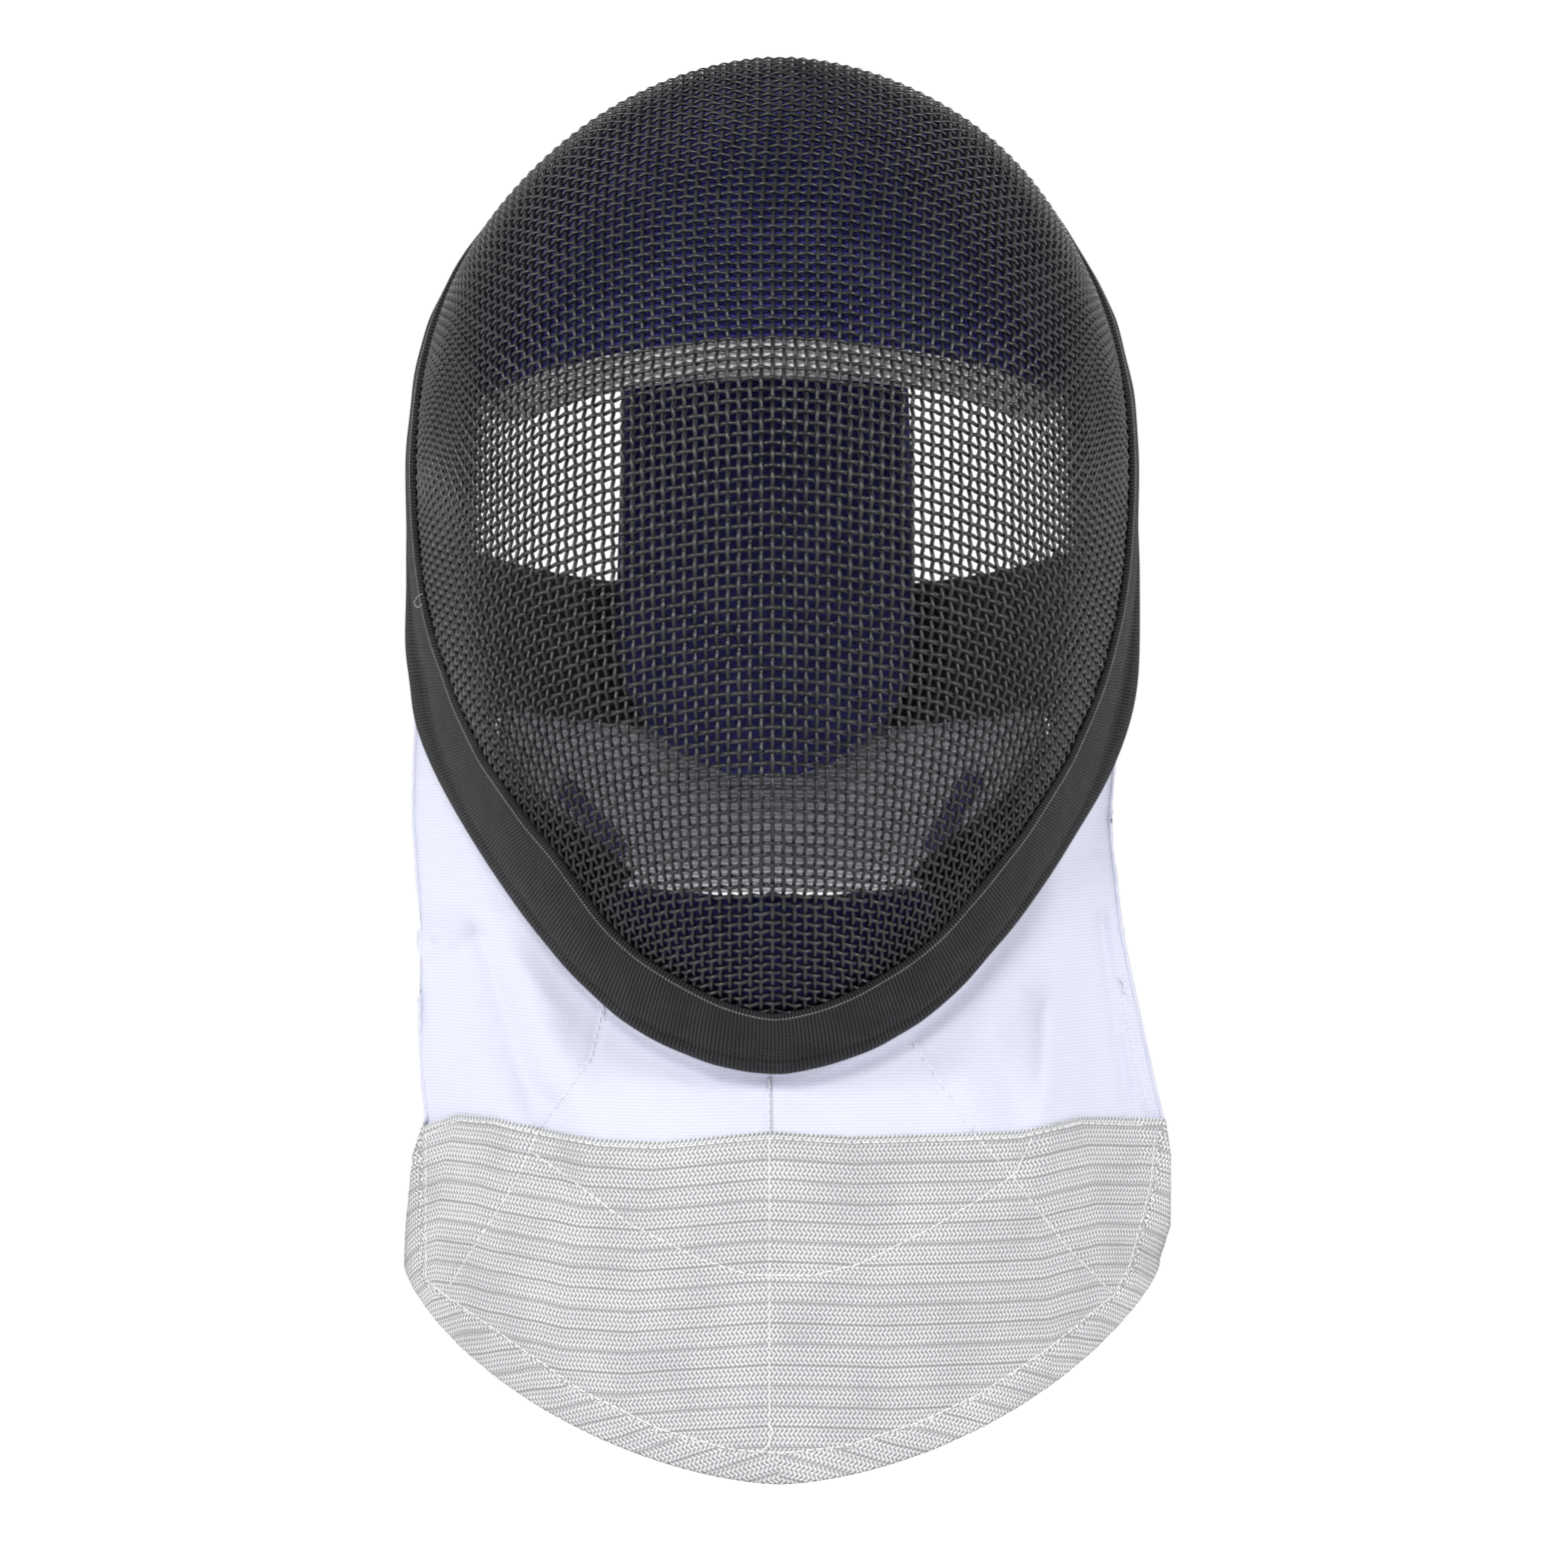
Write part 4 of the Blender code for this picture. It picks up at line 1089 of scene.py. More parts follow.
@dataclass
class EdgeBand:
    """Knitted elastic folded round the whole edge, with a rolled outer edge and a row of stitches."""

    form: CageForm
    view: Viewpoint
    front: float = 21 * MM
    back: float = 8 * MM
    wall: float = 1.6 * MM
    roll: float = 2.6 * MM
    gap: float = 0.15 * MM
    rest: float = 1.1 * MM
    columns: int = 420
    stitch: Stitch = Stitch(radius=0.15 * MM, pitch=0.95 * MM, length=0.48 * MM, lift=0.16 * MM, sides=4)
    # the roll grows from its least share to all of it over these turns
    roll_least: float = 0.55
    roll_from: float = 70.0
    roll_over: float = 50.0
    # where the band stands out beside the ears, in turns, and how far
    bulge: float = 4.7 * MM
    bulge_turn: float = 107.5
    bulge_wide: float = 9.5
    # the joint of its two ends, on the left
    joint_turn: float = 254.0
    joint_wide: float = 2.2
    joint_deep: float = 1.6 * MM
    # height, waves round the band, shift
    waves: tuple = ((0.16 * MM, 23, 0), (0.12 * MM, 41, 1))
    # columns of the grid that the stitches and the run of the cloth follow
    sewn_column: int = 3
    top_column: int = 8
    loose_loop: tuple = (
        (-94.6, 51.2), (-95.6, 50.6), (-96.4, 49.4), (-96.2, 48.2), (-95.2, 47.7), (-94.4, 48.5),
    )
    # turn from the top, width as a share of front on the right, and on the left
    widths: tuple = (
        (0, 0.70, 0.70), (60, 1.00, 1.00), (85, 1.35, 1.35), (98, 1.70, 1.80), (107, 1.90, 2.20),
        (114, 1.85, 2.20), (127, 1.65, 2.00), (145, 1.24, 1.38), (165, 1.08, 1.16), (180, 1.06, 1.06),
    )
    # share of the width in from the edge, height as a share of the wall
    face: tuple = (
        (1.0, 0.0), (1.0, 0.4), (0.985, 0.75), (0.95, 0.95), (0.86, 1.05), (0.7, 1.25),
        (0.55, 1.38), (0.42, 1.40), (0.32, 1.36), (0.25, 1.26), (0.21, 1.08), (0.185, 0.86),
        (0.165, 0.95), (0.13, 1.22), (0.08, 1.28), (0.03, 1.1),
    )

    def make(self) -> list[bpy.types.Object]:
        """The band and its stitches."""
        turn = np.linspace(0, 360, self.columns, endpoint=False)
        fold = folded(turn)
        table = np.array(self.widths)
        right, left = (smooth_curve(table[:, 0], table[:, at] * self.front)(fold) for at in (1, 2))
        wide = np.where(turn > 180, left, right)
        ring, across = self.profile(fold, wide)
        rows = []
        for reach, lift in ring:
            step = self.form.in_from_rim(fold, reach)
            rows.append(self.form.offset(step, turn, np.broadcast_to(lift, turn.shape)))
        grid = self.settle(np.stack(rows, axis=1), turn)
        closed = np.concatenate([grid, grid[:1]])
        along = run_along(closed[:, self.top_column])
        across = np.concatenate([across, across[:1]])
        cut = np.stack([np.broadcast_to(along[:, None], across.shape), across], axis=-1)
        quads = grid_quads(len(closed), closed.shape[1])
        # the second colour is the painted shade between the ribs
        colors = (0.054, 0.054, 0.059), (0.002, 0.002, 0.003)
        cloth = KnitElastic("edge band knit", *colors, rib=1.15, wander=9.0, relief=0.00075).make()
        band = make_piece("edge_band", closed, quads, cloth, cut)
        enlist(band, "rim_binding", "rim_binding")
        return [band, self.stitches(grid, surface(closed, quads))]

    def profile(self, fold: np.ndarray, wide: np.ndarray) -> tuple[list, np.ndarray]:
        """The band's lines, from its inner edge over the roll to the edge behind the cage.

        Args:
            fold: turn of each column from the top.
            wide: width of the band's face there.

        Returns:
            Reach in from the rim and lift off the cage for each line, and its place across the cloth.
        """
        inside = self.rest + self.form.wall
        low = np.clip((fold - self.roll_from) / self.roll_over, 0, 1)
        ring, across = [], []
        for share, tall in self.face:
            groove = 1 - 0.5 * (1 - low) * (0.1 < share < 0.24) * (tall < 1.1)
            lift = self.gap + self.wall * tall / groove
            ring.append((wide * share, lift))
            across.append(wide * (1 - share))
        start = across[-1]
        roll = self.roll * (self.roll_least + (1 - self.roll_least) * low)
        for reach, lift, run in (
            (-roll * 0.55, self.wall * 0.62, 2.0 * MM),
            (-roll * 0.92, 0.0, 3.3 * MM),
            (-roll, -self.form.wall * 0.5, 4.6 * MM),
            (-roll * 0.85, -inside * 0.8, 6.2 * MM),
            (-roll * 0.5, -inside - self.wall * 0.5, 7.6 * MM),
            (self.back * 0.1, -inside - self.wall * 0.95, 9.4 * MM),
            (self.back * 0.5, -inside - self.wall * 1.1, 12.5 * MM),
            (self.back * 0.9, -inside - self.wall * 0.9, 15.5 * MM),
            (self.back, -inside - self.wall * 0.4, 17.0 * MM),
            (self.back, -inside + 0.3 * MM, 18.0 * MM),
        ):
            ring.append((np.broadcast_to(reach, fold.shape), lift))
            across.append(start + run)
        return ring, np.stack(across, axis=1)

    def settle(self, grid: np.ndarray, turn: np.ndarray) -> np.ndarray:
        """Small unevenness along the band, and the pinch where it is joined at the left."""
        waves = sum(tall * np.sin(np.radians(turn) * many + shift) for tall, many, shift in self.waves)
        pinch = self.joint_deep * np.exp(-(((turn - self.joint_turn) / self.joint_wide) ** 2))
        normal = unit(grid[:, self.top_column] - grid[:, -4])
        share = np.clip(np.arange(grid.shape[1]) / 6.0, 0, 1)[None, :, None]
        outer = np.clip((np.arange(grid.shape[1]) - 9) / 6.0, 0, 1)[None, :, None]
        beside_ears = np.exp(-(((folded(turn) - self.bulge_turn) / self.bulge_wide) ** 2))
        spread = np.zeros((len(turn), 1, 3))
        spread[:, 0, 0] = self.bulge * np.sign(180 - turn) * beside_ears
        return grid + normal[:, None] * (waves - pinch)[:, None, None] * share + spread * outer

    def stitches(self, grid: np.ndarray, tree: BVHTree) -> bpy.types.Object:
        """Light stitches along the inner edge of the band, and the loose loop at its joint.

        Args:
            grid: the band's points, round by across.
            tree: the band's surface.

        Returns:
            The stitches.
        """
        edge = grid[:, self.sewn_column]
        line = np.concatenate([edge, unit(edge - grid[:, -2])], axis=1)
        bundle = self.stitch.thread()
        self.stitch.sew(bundle, np.concatenate([line, line[:1]]))
        lay_loose(bundle, self.view.drop(tree, self.loose_loop, 0.4 * MM), 0.5 * MM)
        thread = SewingThread("edge band thread", (0.42, 0.42, 0.41)).make()
        return enlist(bundle.make("edge_band_stitches", thread), "rim_binding")


# ---------------------------------------------------------------- the bib


@dataclass
class BibForm:
    """The hang of the bib, ear to ear, as fall lines from behind the edge band."""

    form: CageForm
    half_width: float = 107 * MM
    bottom: float = 195 * MM
    corner: float = 136 * MM
    front_centre: float = 42 * MM
    front_side: float = 96 * MM
    ear_turn: float = 96.0
    fold_tall: float = 115 * MM
    hem_shift: float = 2 * MM
    stiff_below: float = -0.76
    tuck: float = 9 * MM
    tuck_share: float = 0.10
    # where its top is sewn: in under the band's edge, and in from the cage's face
    hang_in: float = 3.1 * MM
    hang_under: float = 1.2 * MM
    # from across, from down, to across, to down, width, height
    folds: tuple = (
        (-0.80, -0.34, -0.58, -0.93, 0.070, -0.0050),
        (-0.93, -0.40, -0.78, -0.32, 0.050, 0.0045),
        (-0.70, -0.45, -0.47, -0.95, 0.090, 0.0045),
        (0.74, -0.55, 0.72, -0.95, 0.060, 0.0046),
        (0.86, -0.20, 0.90, -0.95, 0.070, -0.0045),
        (0.50, -0.75, 0.62, -1.05, 0.080, 0.0035),
    )
    # finer creases, the same columns
    creases: tuple = (
        (-0.80, -0.34, -0.615, -0.86, 0.026, -0.0020),
        (-0.60, -0.78, -0.52, -0.99, 0.024, -0.0020),
        (0.735, -0.56, 0.725, -0.92, 0.026, 0.0020),
        (0.90, -0.35, 0.98, -0.92, 0.020, -0.0028),
        (0.60, -0.62, 0.66, -0.92, 0.026, -0.0011),
        (-0.97, -0.55, -0.90, -0.95, 0.022, 0.0015),
        (-0.93, -0.40, -0.80, -0.345, 0.020, 0.0014),
    )
    # down, stray at the left edge, stray at the right edge, mm
    sway: tuple = (
        (-46, 0.0, 0.0),
        (0, -0.2, -5.4),
        (10, 0.0, -6.8),
        (43, 3.4, -4.2),
        (80, 4.2, 2.6),
        (98, 6.6, 6.4),
        (108, 3.6, 7.6),
        (128, 2.0, 7.0),
        (137, 1.8, 3.8),
        (195, 0.0, 0.0),
    )

    def lines(self, columns: int) -> tuple[np.ndarray, np.ndarray, np.ndarray]:
        """Top and bottom of each fall line and its place across, -1 to 1."""
        turn = np.linspace(self.ear_turn, 360 - self.ear_turn, columns)
        across = (180 - turn) / (180 - self.ear_turn)
        step = self.form.in_from_rim(folded(turn), np.full(turn.shape, -self.hang_in))
        start = self.form.offset(step, turn, np.full(turn.shape, -self.hang_under))
        side = np.sign(across) * np.sin(np.radians(np.abs(across) * 90)) ** 0.88
        curl = 1 - (1 - np.abs(side) ** 1.6) ** 0.62
        hem_z = -self.bottom + (self.bottom - self.corner) * curl
        hem_y = self.front_centre + (self.front_side - self.front_centre) * np.abs(side) ** 2.2
        hem_x = self.half_width * side + self.hem_shift * (1 - side**4)
        return start, np.stack([hem_x, hem_y, hem_z], axis=-1), side

    def lift(self, points: np.ndarray) -> np.ndarray:
        """How far folds and creases raise the cloth at each point."""
        x, z = points[..., 0] / self.half_width, points[..., 2] / self.fold_tall
        height = np.zeros(x.shape)
        for ax, az, bx, bz, width, tall in self.folds + self.creases:
            run = np.array([bx - ax, bz - az])
            near = np.clip(((x - ax) * run[0] + (z - az) * run[1]) / (run @ run), 0, 1)
            away = np.hypot(x - ax - near * run[0], z - az - near * run[1])
            height += tall * np.exp(-((away / width) ** 2))
        flattened = np.clip((self.stiff_below - z) / 0.1, 0, 1)
        return height * (1 - 0.65 * flattened)

    def rows(self, lines: tuple, share: np.ndarray) -> np.ndarray:
        """Points of the outer face at shares down each fall line."""
        start, hem, side = lines
        part = share[..., None]
        points = start[None] * (1 - part) + hem[None] * part
        out = np.stack([0.022 * side, -0.016 * (1 - side**2), np.zeros(len(side))], axis=-1)
        ease = 1 - 0.95 * np.abs(side)[None, :, None] ** 3
        points = points + part * (1 - part) * ease * out[None]
        sway = np.array(self.sway) * MM
        left, right = (np.interp(-points[..., 2], sway[:, 0], sway[:, k]) for k in (1, 2))
        points[..., 0] += np.where(side < 0, left, right) * np.abs(side) ** 4
        points[..., 1] -= self.lift(points) * np.clip(share / 0.12, 0, 1)
        fade = np.exp(-share / self.tuck_share)
        points[..., 1] += self.tuck * fade * (1 - side**6) * (1 - np.exp(-share / 0.01))
        return points


def seam_dent(flat: np.ndarray, seams: tuple, width: float, depth: float) -> np.ndarray:
    """How far seams draw the cloth in.

    Args:
        flat: front-view places of the points, in metres.
        seams: lines of (across, up) marks in millimetres.
        width: half width of the dent.
        depth: its depth.

    Returns:
        The dent at each point, negative.
    """
    dent = np.zeros(flat.shape[:-1])
    for seam in seams:
        marks = np.array(seam, float) * MM
        near = np.full(flat.shape[:-1], 1.0)
        for a, b in zip(marks[:-1], marks[1:]):
            run = b - a
            part = np.clip(((flat - a) @ run) / (run @ run), 0, 1)
            near = np.minimum(near, np.linalg.norm(flat - a - part[..., None] * run, axis=-1))
        dent = np.minimum(dent, -depth * np.exp(-((near / width) ** 2)))
    return dent


@dataclass
class ThroatBib:
    """White throat bib hung from the lower rim, with its seams."""

    hang: BibForm
    view: Viewpoint
    wall: float = 1.3 * MM
    columns: int = 181
    rows: int = 111
    flat: tuple = (0.262, 0.216)
    area: float = 0.0357
    stitch: Stitch = Stitch(radius=0.22 * MM, pitch=2.7 * MM, length=2.1 * MM, lift=0.14 * MM)
    seam_wide: float = 1.2 * MM
    seam_deep: float = 0.75 * MM
    ripple: float = 0.10 * MM
    left_seam: tuple = ((-46, -60.5), (-49, -74), (-63, -93.4), (-69.5, -108))
    right_seam: tuple = ((38, -70), (50.5, -88), (54.5, -94.7), (65.5, -107))
    centre_seam: tuple = ((-1.0, -79.5), (-0.8, -95), (-0.6, -108))
    side_seam: tuple = ((94, -54), (97, -70), (100.5, -84), (103, -92))
    # loose thread ends at the tops of the seams
    tails: tuple = (
        ((-46, -60), (-45.4, -61.5), (-45.9, -63.2), (-44.8, -64.2)),
        ((-0.9, -79), (-1.3, -80.6), (-0.4, -82), (-0.9, -83.6)),
        ((94, -53), (95.2, -54.4), (94.6, -56), (96, -57.2)),
    )

    def make(self) -> list[bpy.types.Object]:
        """The bib and its stitches."""
        lines = self.hang.lines(self.columns)
        share = np.linspace(0, 0.985, self.rows)[:, None] * np.ones(self.columns)
        outer = self.hang.rows(lines, share)
        normal = front_normals(outer)
        seams = (self.left_seam, self.right_seam, self.centre_seam, self.side_seam)
        dent = seam_dent(self.view.flat(outer), seams, self.seam_wide, self.seam_deep)
        x, z = outer[..., 0], outer[..., 2]
        ripple = self.ripple * np.sin(x * 520 + z * 130) * np.sin(z * 410)
        outer = outer + normal * (dent + ripple)[..., None]
        back = outer - normal * self.wall
        level = -outer[..., 2]
        reach = outer[..., 0] + np.sign(outer[..., 0]) * (outer[..., 1] - self.hang.front_centre) * 0.6
        cut = np.stack([reach + 0.2, level], axis=-1)
        points = np.concatenate([outer.reshape(-1, 3), back.reshape(-1, 3)])
        cuts = np.concatenate([cut.reshape(-1, 2)] * 2)
        quads = wall_quads(self.rows, self.columns)
        bib = make_piece("throat_bib", points, quads, BibCloth().make(), cuts)
        enlist(bib, "bib", "bib")
        tree = surface(points, quads)
        bundle = self.stitch.thread()
        for seam in seams:
            self.stitch.sew(bundle, self.view.drop(tree, seam))
        for tail in self.tails:
            lay_loose(bundle, self.view.drop(tree, tail, 0.5 * MM), 0.5 * MM)
        thread = SewingThread("bib thread", (0.90, 0.90, 0.93)).make()
        sewn = enlist(bundle.make("bib_stitches", thread), "bib")
        return [bib, sewn]


@dataclass
class LameBib:
    """Conductive cloth over the lower half of the bib, with turned hems and sewn lines."""

    hang: BibForm
    view: Viewpoint
    wall: float = 0.8 * MM
    rest: float = 0.25 * MM
    columns: int = 191
    rows: int = 81
    rib_pitch: float = 5.75 * MM
    rib_tall: float = 0.10 * MM
    # place of the middle on the flat cloth, and the turn of the hem's weave against it, in degrees
    cut_middle: float = 0.2
    hem_bias: float = 14.0
    overhang: float = 1.5 * MM
    flat: tuple = (0.240, 0.112)
    area: float = 0.0205
    stitch: Stitch = Stitch(radius=0.26 * MM, pitch=2.75 * MM, length=2.3 * MM, lift=0.24 * MM)
    seam_wide: float = 1.0 * MM
    seam_deep: float = 0.60 * MM
    # the turned hem's extra thickness, and the puckers along the middle seam
    hem_tall: float = 0.35 * MM
    hem_edge: float = 0.8 * MM
    pucker: float = 0.12 * MM
    pucker_wide: float = 3 * MM
    # front-view marks of the upper edge, mm
    upper_edge: tuple = (
        (-104, -92.5), (-94.1, -93.4), (-84.6, -89.3), (-75, -90.2), (-68.4, -92.0), (-60, -93.6),
        (-46.8, -96.1), (-30.5, -96.9), (-0.8, -94.2), (20.8, -95.5), (47.8, -94.7), (66.8, -93.9),
        (83.0, -90.1), (101.9, -90.7), (112, -90.7),
    )
    hem: tuple = (
        (-93.6, -94.5), (-93.6, -134.0), (-88.6, -138.0), (-75.1, -147.5), (-52.2, -163.7), (-30.5, -174.5),
        (-11.6, -179.9), (1.9, -181.0), (19.5, -179.1), (38.4, -173.1), (55.1, -165.5), (73.5, -153.4),
        (92.4, -138.0), (96.5, -129.9), (100.5, -115.0), (102.4, -106.9), (103.4, -92.5),
    )
    arc_seam: tuple = (
        (-64.3, -100.1), (-56.2, -105.5), (-38.6, -119.1), (-19.7, -128.5), (-6.2, -132.8), (10.0, -133.1),
        (23.5, -129.9), (42.4, -120.4), (55.9, -112.3), (65.4, -105.5), (70.8, -94.7),
    )
    centre_seam: tuple = ((-0.8, -95.5), (-0.8, -181.5))
    left_seam: tuple = ((-63.0, -93.4), (-69.7, -108.2), (-88.6, -138.0))
    right_seam: tuple = ((54.5, -94.7), (65.4, -106.9), (78.9, -124.5), (92.4, -138.5))
    loose_hook: tuple = (
        (-0.5, -173.5), (0.2, -175), (-0.6, -177), (-1.4, -179), (-3.2, -180.6), (-4.2, -179.6),
    )

    def make(self) -> list[bpy.types.Object]:
        """The cloth and its stitches."""
        lines = self.hang.lines(self.columns)
        share = self.upper_shares(lines)
        rows = np.linspace(0, 1, self.rows)[:, None]
        outer = self.hang.rows(lines, share[None, :] + (1 - share)[None, :] * rows)
        normal = front_normals(outer)
        flat = self.view.flat(outer)
        seams = (self.hem, self.arc_seam, self.centre_seam, self.left_seam, self.right_seam, self.top_seam())
        dent = seam_dent(flat, seams, self.seam_wide, self.seam_deep)
        down = np.stack([run_along(outer[:, column]) for column in range(self.columns)], axis=1)
        across = np.stack([run_along(row) for row in outer])
        across = across - across[:, [self.columns // 2]]
        ribs = self.rib_tall * np.cos(2 * math.pi * down / self.rib_pitch)
        hem_line = np.array(self.hem) * MM
        past = np.interp(flat[..., 0], hem_line[:, 0], hem_line[:, 1]) - flat[..., 1]
        turned = self.hem_tall * np.clip(past / self.hem_edge, 0, 1)
        pucker = self.pucker * np.sin(down * 900) * np.exp(-((across / self.pucker_wide) ** 2))
        lift = self.wall + self.rest + dent - ribs + turned + pucker
        reach = self.overhang * lines[2] ** 15
        back = outer + normal * self.rest
        outer = outer + normal * lift[..., None]
        outer[..., 0] += reach
        back[..., 0] += reach
        points = np.concatenate([outer.reshape(-1, 3), back.reshape(-1, 3)])
        cut = np.stack([across + self.cut_middle, down + 0.25], axis=-1).reshape(-1, 2)
        quads = wall_quads(self.rows, self.columns)
        cut = self.bias_hem(np.concatenate([cut, cut])[quads], np.tile((past > 0).ravel(), 2)[quads])
        cloth = make_piece("lame_cloth", points, quads, LameKnit().make(), cut)
        enlist(cloth, "lame_bib", "lame_bib")
        tree = surface(points, quads)
        bundle = self.stitch.thread()
        for seam in seams:
            self.stitch.sew(bundle, self.view.drop(tree, seam))
        lay_loose(bundle, self.view.drop(tree, self.loose_hook, 0.6 * MM), 0.4 * MM)
        thread = SewingThread("lame thread", (0.95, 0.95, 0.94)).make()
        sewn = enlist(bundle.make("lame_stitches", thread), "lame_bib")
        return [cloth, sewn]

    def upper_shares(self, lines: tuple) -> np.ndarray:
        """How far down each fall line the cloth's upper edge lies, so that it shows at its marks."""
        start, hem, _ = lines
        share = np.full(self.columns, 0.3)
        edge = np.array(self.upper_edge) * MM
        for _ in range(14):
            flat = self.view.flat(self.hang.rows(lines, share[None, :])[0])
            wanted = np.interp(flat[:, 0], edge[:, 0], edge[:, 1])
            share = np.clip(share + (flat[:, 1] - wanted) / (start[:, 2] - hem[:, 2]), 0.02, 0.95)
        return share

    def bias_hem(self, cut: np.ndarray, past: np.ndarray) -> np.ndarray:
        """Turns the weave of the hem on the bias, each half its own way.

        Args:
            cut: place on the flat cloth of each face corner.
            past: which corners lie past the hem's line.

        Returns:
            The places, with those of the hem's faces turned.
        """
        hemmed = past.all(axis=1)
        for half in Side:
            on_half = hemmed & (half.value * (cut[..., 0].mean(axis=1) - self.cut_middle) > 0)
            bias = math.radians(self.hem_bias) * half.value
            swing = np.array([[math.cos(bias), -math.sin(bias)], [math.sin(bias), math.cos(bias)]])
            cut[on_half] = cut[on_half] @ swing
        return cut

    def top_seam(self) -> tuple:
        """Marks of the row of stitches just under the upper edge."""
        return tuple((x, z - 1.7) for x, z in self.upper_edge[1:-1])


# ---------------------------------------------------------------- pads inside the cage


@dataclass
class InnerPads:
    """Foam pads and linings sewn inside the cage."""

    form: CageForm
    thick: float = 10 * MM
    lining_thick: float = 6 * MM
    lip: float = 1.6 * MM
    rest: float = 1.1 * MM
    edge_up: float = 124.5 * MM
    edge_fall: float = 10 * MM
    back_step: float = 0.905
    from_rim: float = 10 * MM
    band_tall: float = 11 * MM
    band_thick: float = 4 * MM
    lining_width: float = 32.5 * MM
    # first and last turn of each pad, and its columns
    pad_turns: tuple = (-72, 72, 97)
    tape_turns: tuple = (-71, 71, 97)
    lining_turns: tuple = (74.5, 139.4, 49)
    chin_turns: tuple = (139.1, 220.9, 57)
    # the linings widen by this much, from and over these turns
    lining_spread: float = 20 * MM
    spread_from: float = 90.0
    spread_over: float = 44.0
    fill_out: float = 2.2 * MM
    uneven: float = 0.35 * MM
    chin_down: float = 34 * MM
    chin_rise: float = 3 * MM

    def wall(
        self,
        name: str,
        node: str,
        turn: np.ndarray,
        near: np.ndarray,
        far: np.ndarray,
        thick: float,
        rows: int,
        material: bpy.types.Material,
        puffs: tuple = (1, 1),
    ) -> bpy.types.Object:
        """A crowned pad on the inside of the cage.

        Args:
            name: the piece's name.
            node: the solid that it stands for.
            turn: its columns.
            near: step of its front edge at each column.
            far: step of its back edge.
            thick: full thickness.
            rows: rows from front to back.
            material: its finish.
            puffs: how many sewn channels divide it, across and deep.

        Returns:
            The pad.
        """
        share = np.linspace(0, 1, rows)
        across = np.linspace(0, 1, len(turn))
        step = near[None, :] + (far - near)[None, :] * share[:, None]
        turns = np.broadcast_to(turn, step.shape)

        def crown(at: np.ndarray, soft: float) -> np.ndarray:
            """Rounded rise from both ends."""
            edge = np.clip(np.minimum(at, 1 - at) / soft, 0, 1)
            return np.sqrt(1 - (1 - edge) ** 2)

        body = crown(share, 0.22)[:, None] * crown(across, 0.09)[None, :]
        channel = np.ones(body.shape)
        for at, many, axis in ((across, puffs[0], 1), (share, puffs[1], 0)):
            if many > 1:
                seam = np.abs(np.sin(at * math.pi * many)) ** 0.5
                seam = np.where((at < 0.5 / many) | (at > 1 - 0.5 / many), 1.0, seam)
                channel = channel * (0.72 + 0.28 * (seam[None, :] if axis else seam[:, None]))
        rest = -(self.form.wall + self.rest)
        uneven = self.uneven * np.sin(turns * 0.31) * np.sin(step * 47)
        front = self.form.offset(step, turns, np.full(step.shape, rest))
        back = self.form.offset(step, turns, rest - self.lip - ((thick - self.lip) * channel - uneven) * body)
        run = np.linalg.norm(np.gradient(front, axis=1), axis=-1).cumsum(axis=1)
        deep = np.linalg.norm(np.gradient(front, axis=0), axis=-1).cumsum(axis=0)
        pad = make_wall(name, front, back, material, np.stack([run, deep], axis=-1))
        sewn = (body * (channel > 0.80) < 0.05).ravel()
        reach = self.fill_out * min(1.0, thick / self.thick)
        swell(pad, np.concatenate([np.ones(sewn.size, bool), sewn]), reach)
        enlist(pad, node, node)
        return pad

    def arch(self, point: np.ndarray, drop: float = 0.0) -> np.ndarray:
        """Positive above the arched lower edge of the forehead pad."""
        fall = self.edge_fall * (point[..., 0] / (75 * MM)) ** 2
        return point[..., 2] - (self.edge_up - drop - fall)

    def make(self) -> list[bpy.types.Object]:
        """Every pad, lining and band."""
        # each second colour is the painted shade between the loops
        navy = PadCloth("navy pad cloth", (0.085, 0.085, 0.42), (0.030, 0.030, 0.17)).make()
        dark = PadCloth("lining cloth", (0.014, 0.014, 0.020), (0.004, 0.004, 0.006)).make()
        form = self.form
        turn = np.linspace(*self.pad_turns)
        near = form.solve(self.arch, turn, 0.02, 0.97)
        far = np.minimum(self.back_step, form.in_from_rim(np.abs(turn), np.full(turn.shape, self.from_rim)))
        pieces = [
            self.wall("forehead_cushion", "forehead_pad", turn, near, far, self.thick, 45, navy, (6, 2))
        ]
        turn = np.linspace(*self.tape_turns)
        near = form.solve(lambda p: self.arch(p, self.band_tall), turn, 0.0, 0.97)
        far = form.solve(lambda p: self.arch(p, 0.5 * MM), turn, 0.0, 0.97)
        tape = SpeckledTape().make()
        pieces.append(
            self.wall("cushion_edge_tape", "pad_edge_band", turn, near, far, self.band_thick, 10, tape)
        )
        for side in Side:
            word = side.name.lower()
            turn = np.sort(side.value * np.linspace(*self.lining_turns))
            fold = np.abs(turn)
            spread = np.clip((fold - self.spread_from) / self.spread_over, 0, 1)
            near = form.in_from_rim(fold, self.lining_width + self.lining_spread * soften(spread))
            far = form.in_from_rim(fold, np.full(fold.shape, self.from_rim))
            node = f"side_lining_{word}"
            name = f"cheek_lining_{word}"
            pieces.append(self.wall(name, node, turn, near, far, self.lining_thick, 17, dark))
        turn = np.linspace(*self.chin_turns)
        edge = form.in_from_rim(folded(turn), np.full(turn.shape, self.from_rim))

        def below(point: np.ndarray) -> np.ndarray:
            """Positive below the upper edge of the chin pad."""
            return -self.chin_down + self.chin_rise * (point[..., 0] / (50 * MM)) ** 2 - point[..., 2]

        near = np.minimum(form.solve(below, turn, 0.02, 0.7), edge - 0.05)
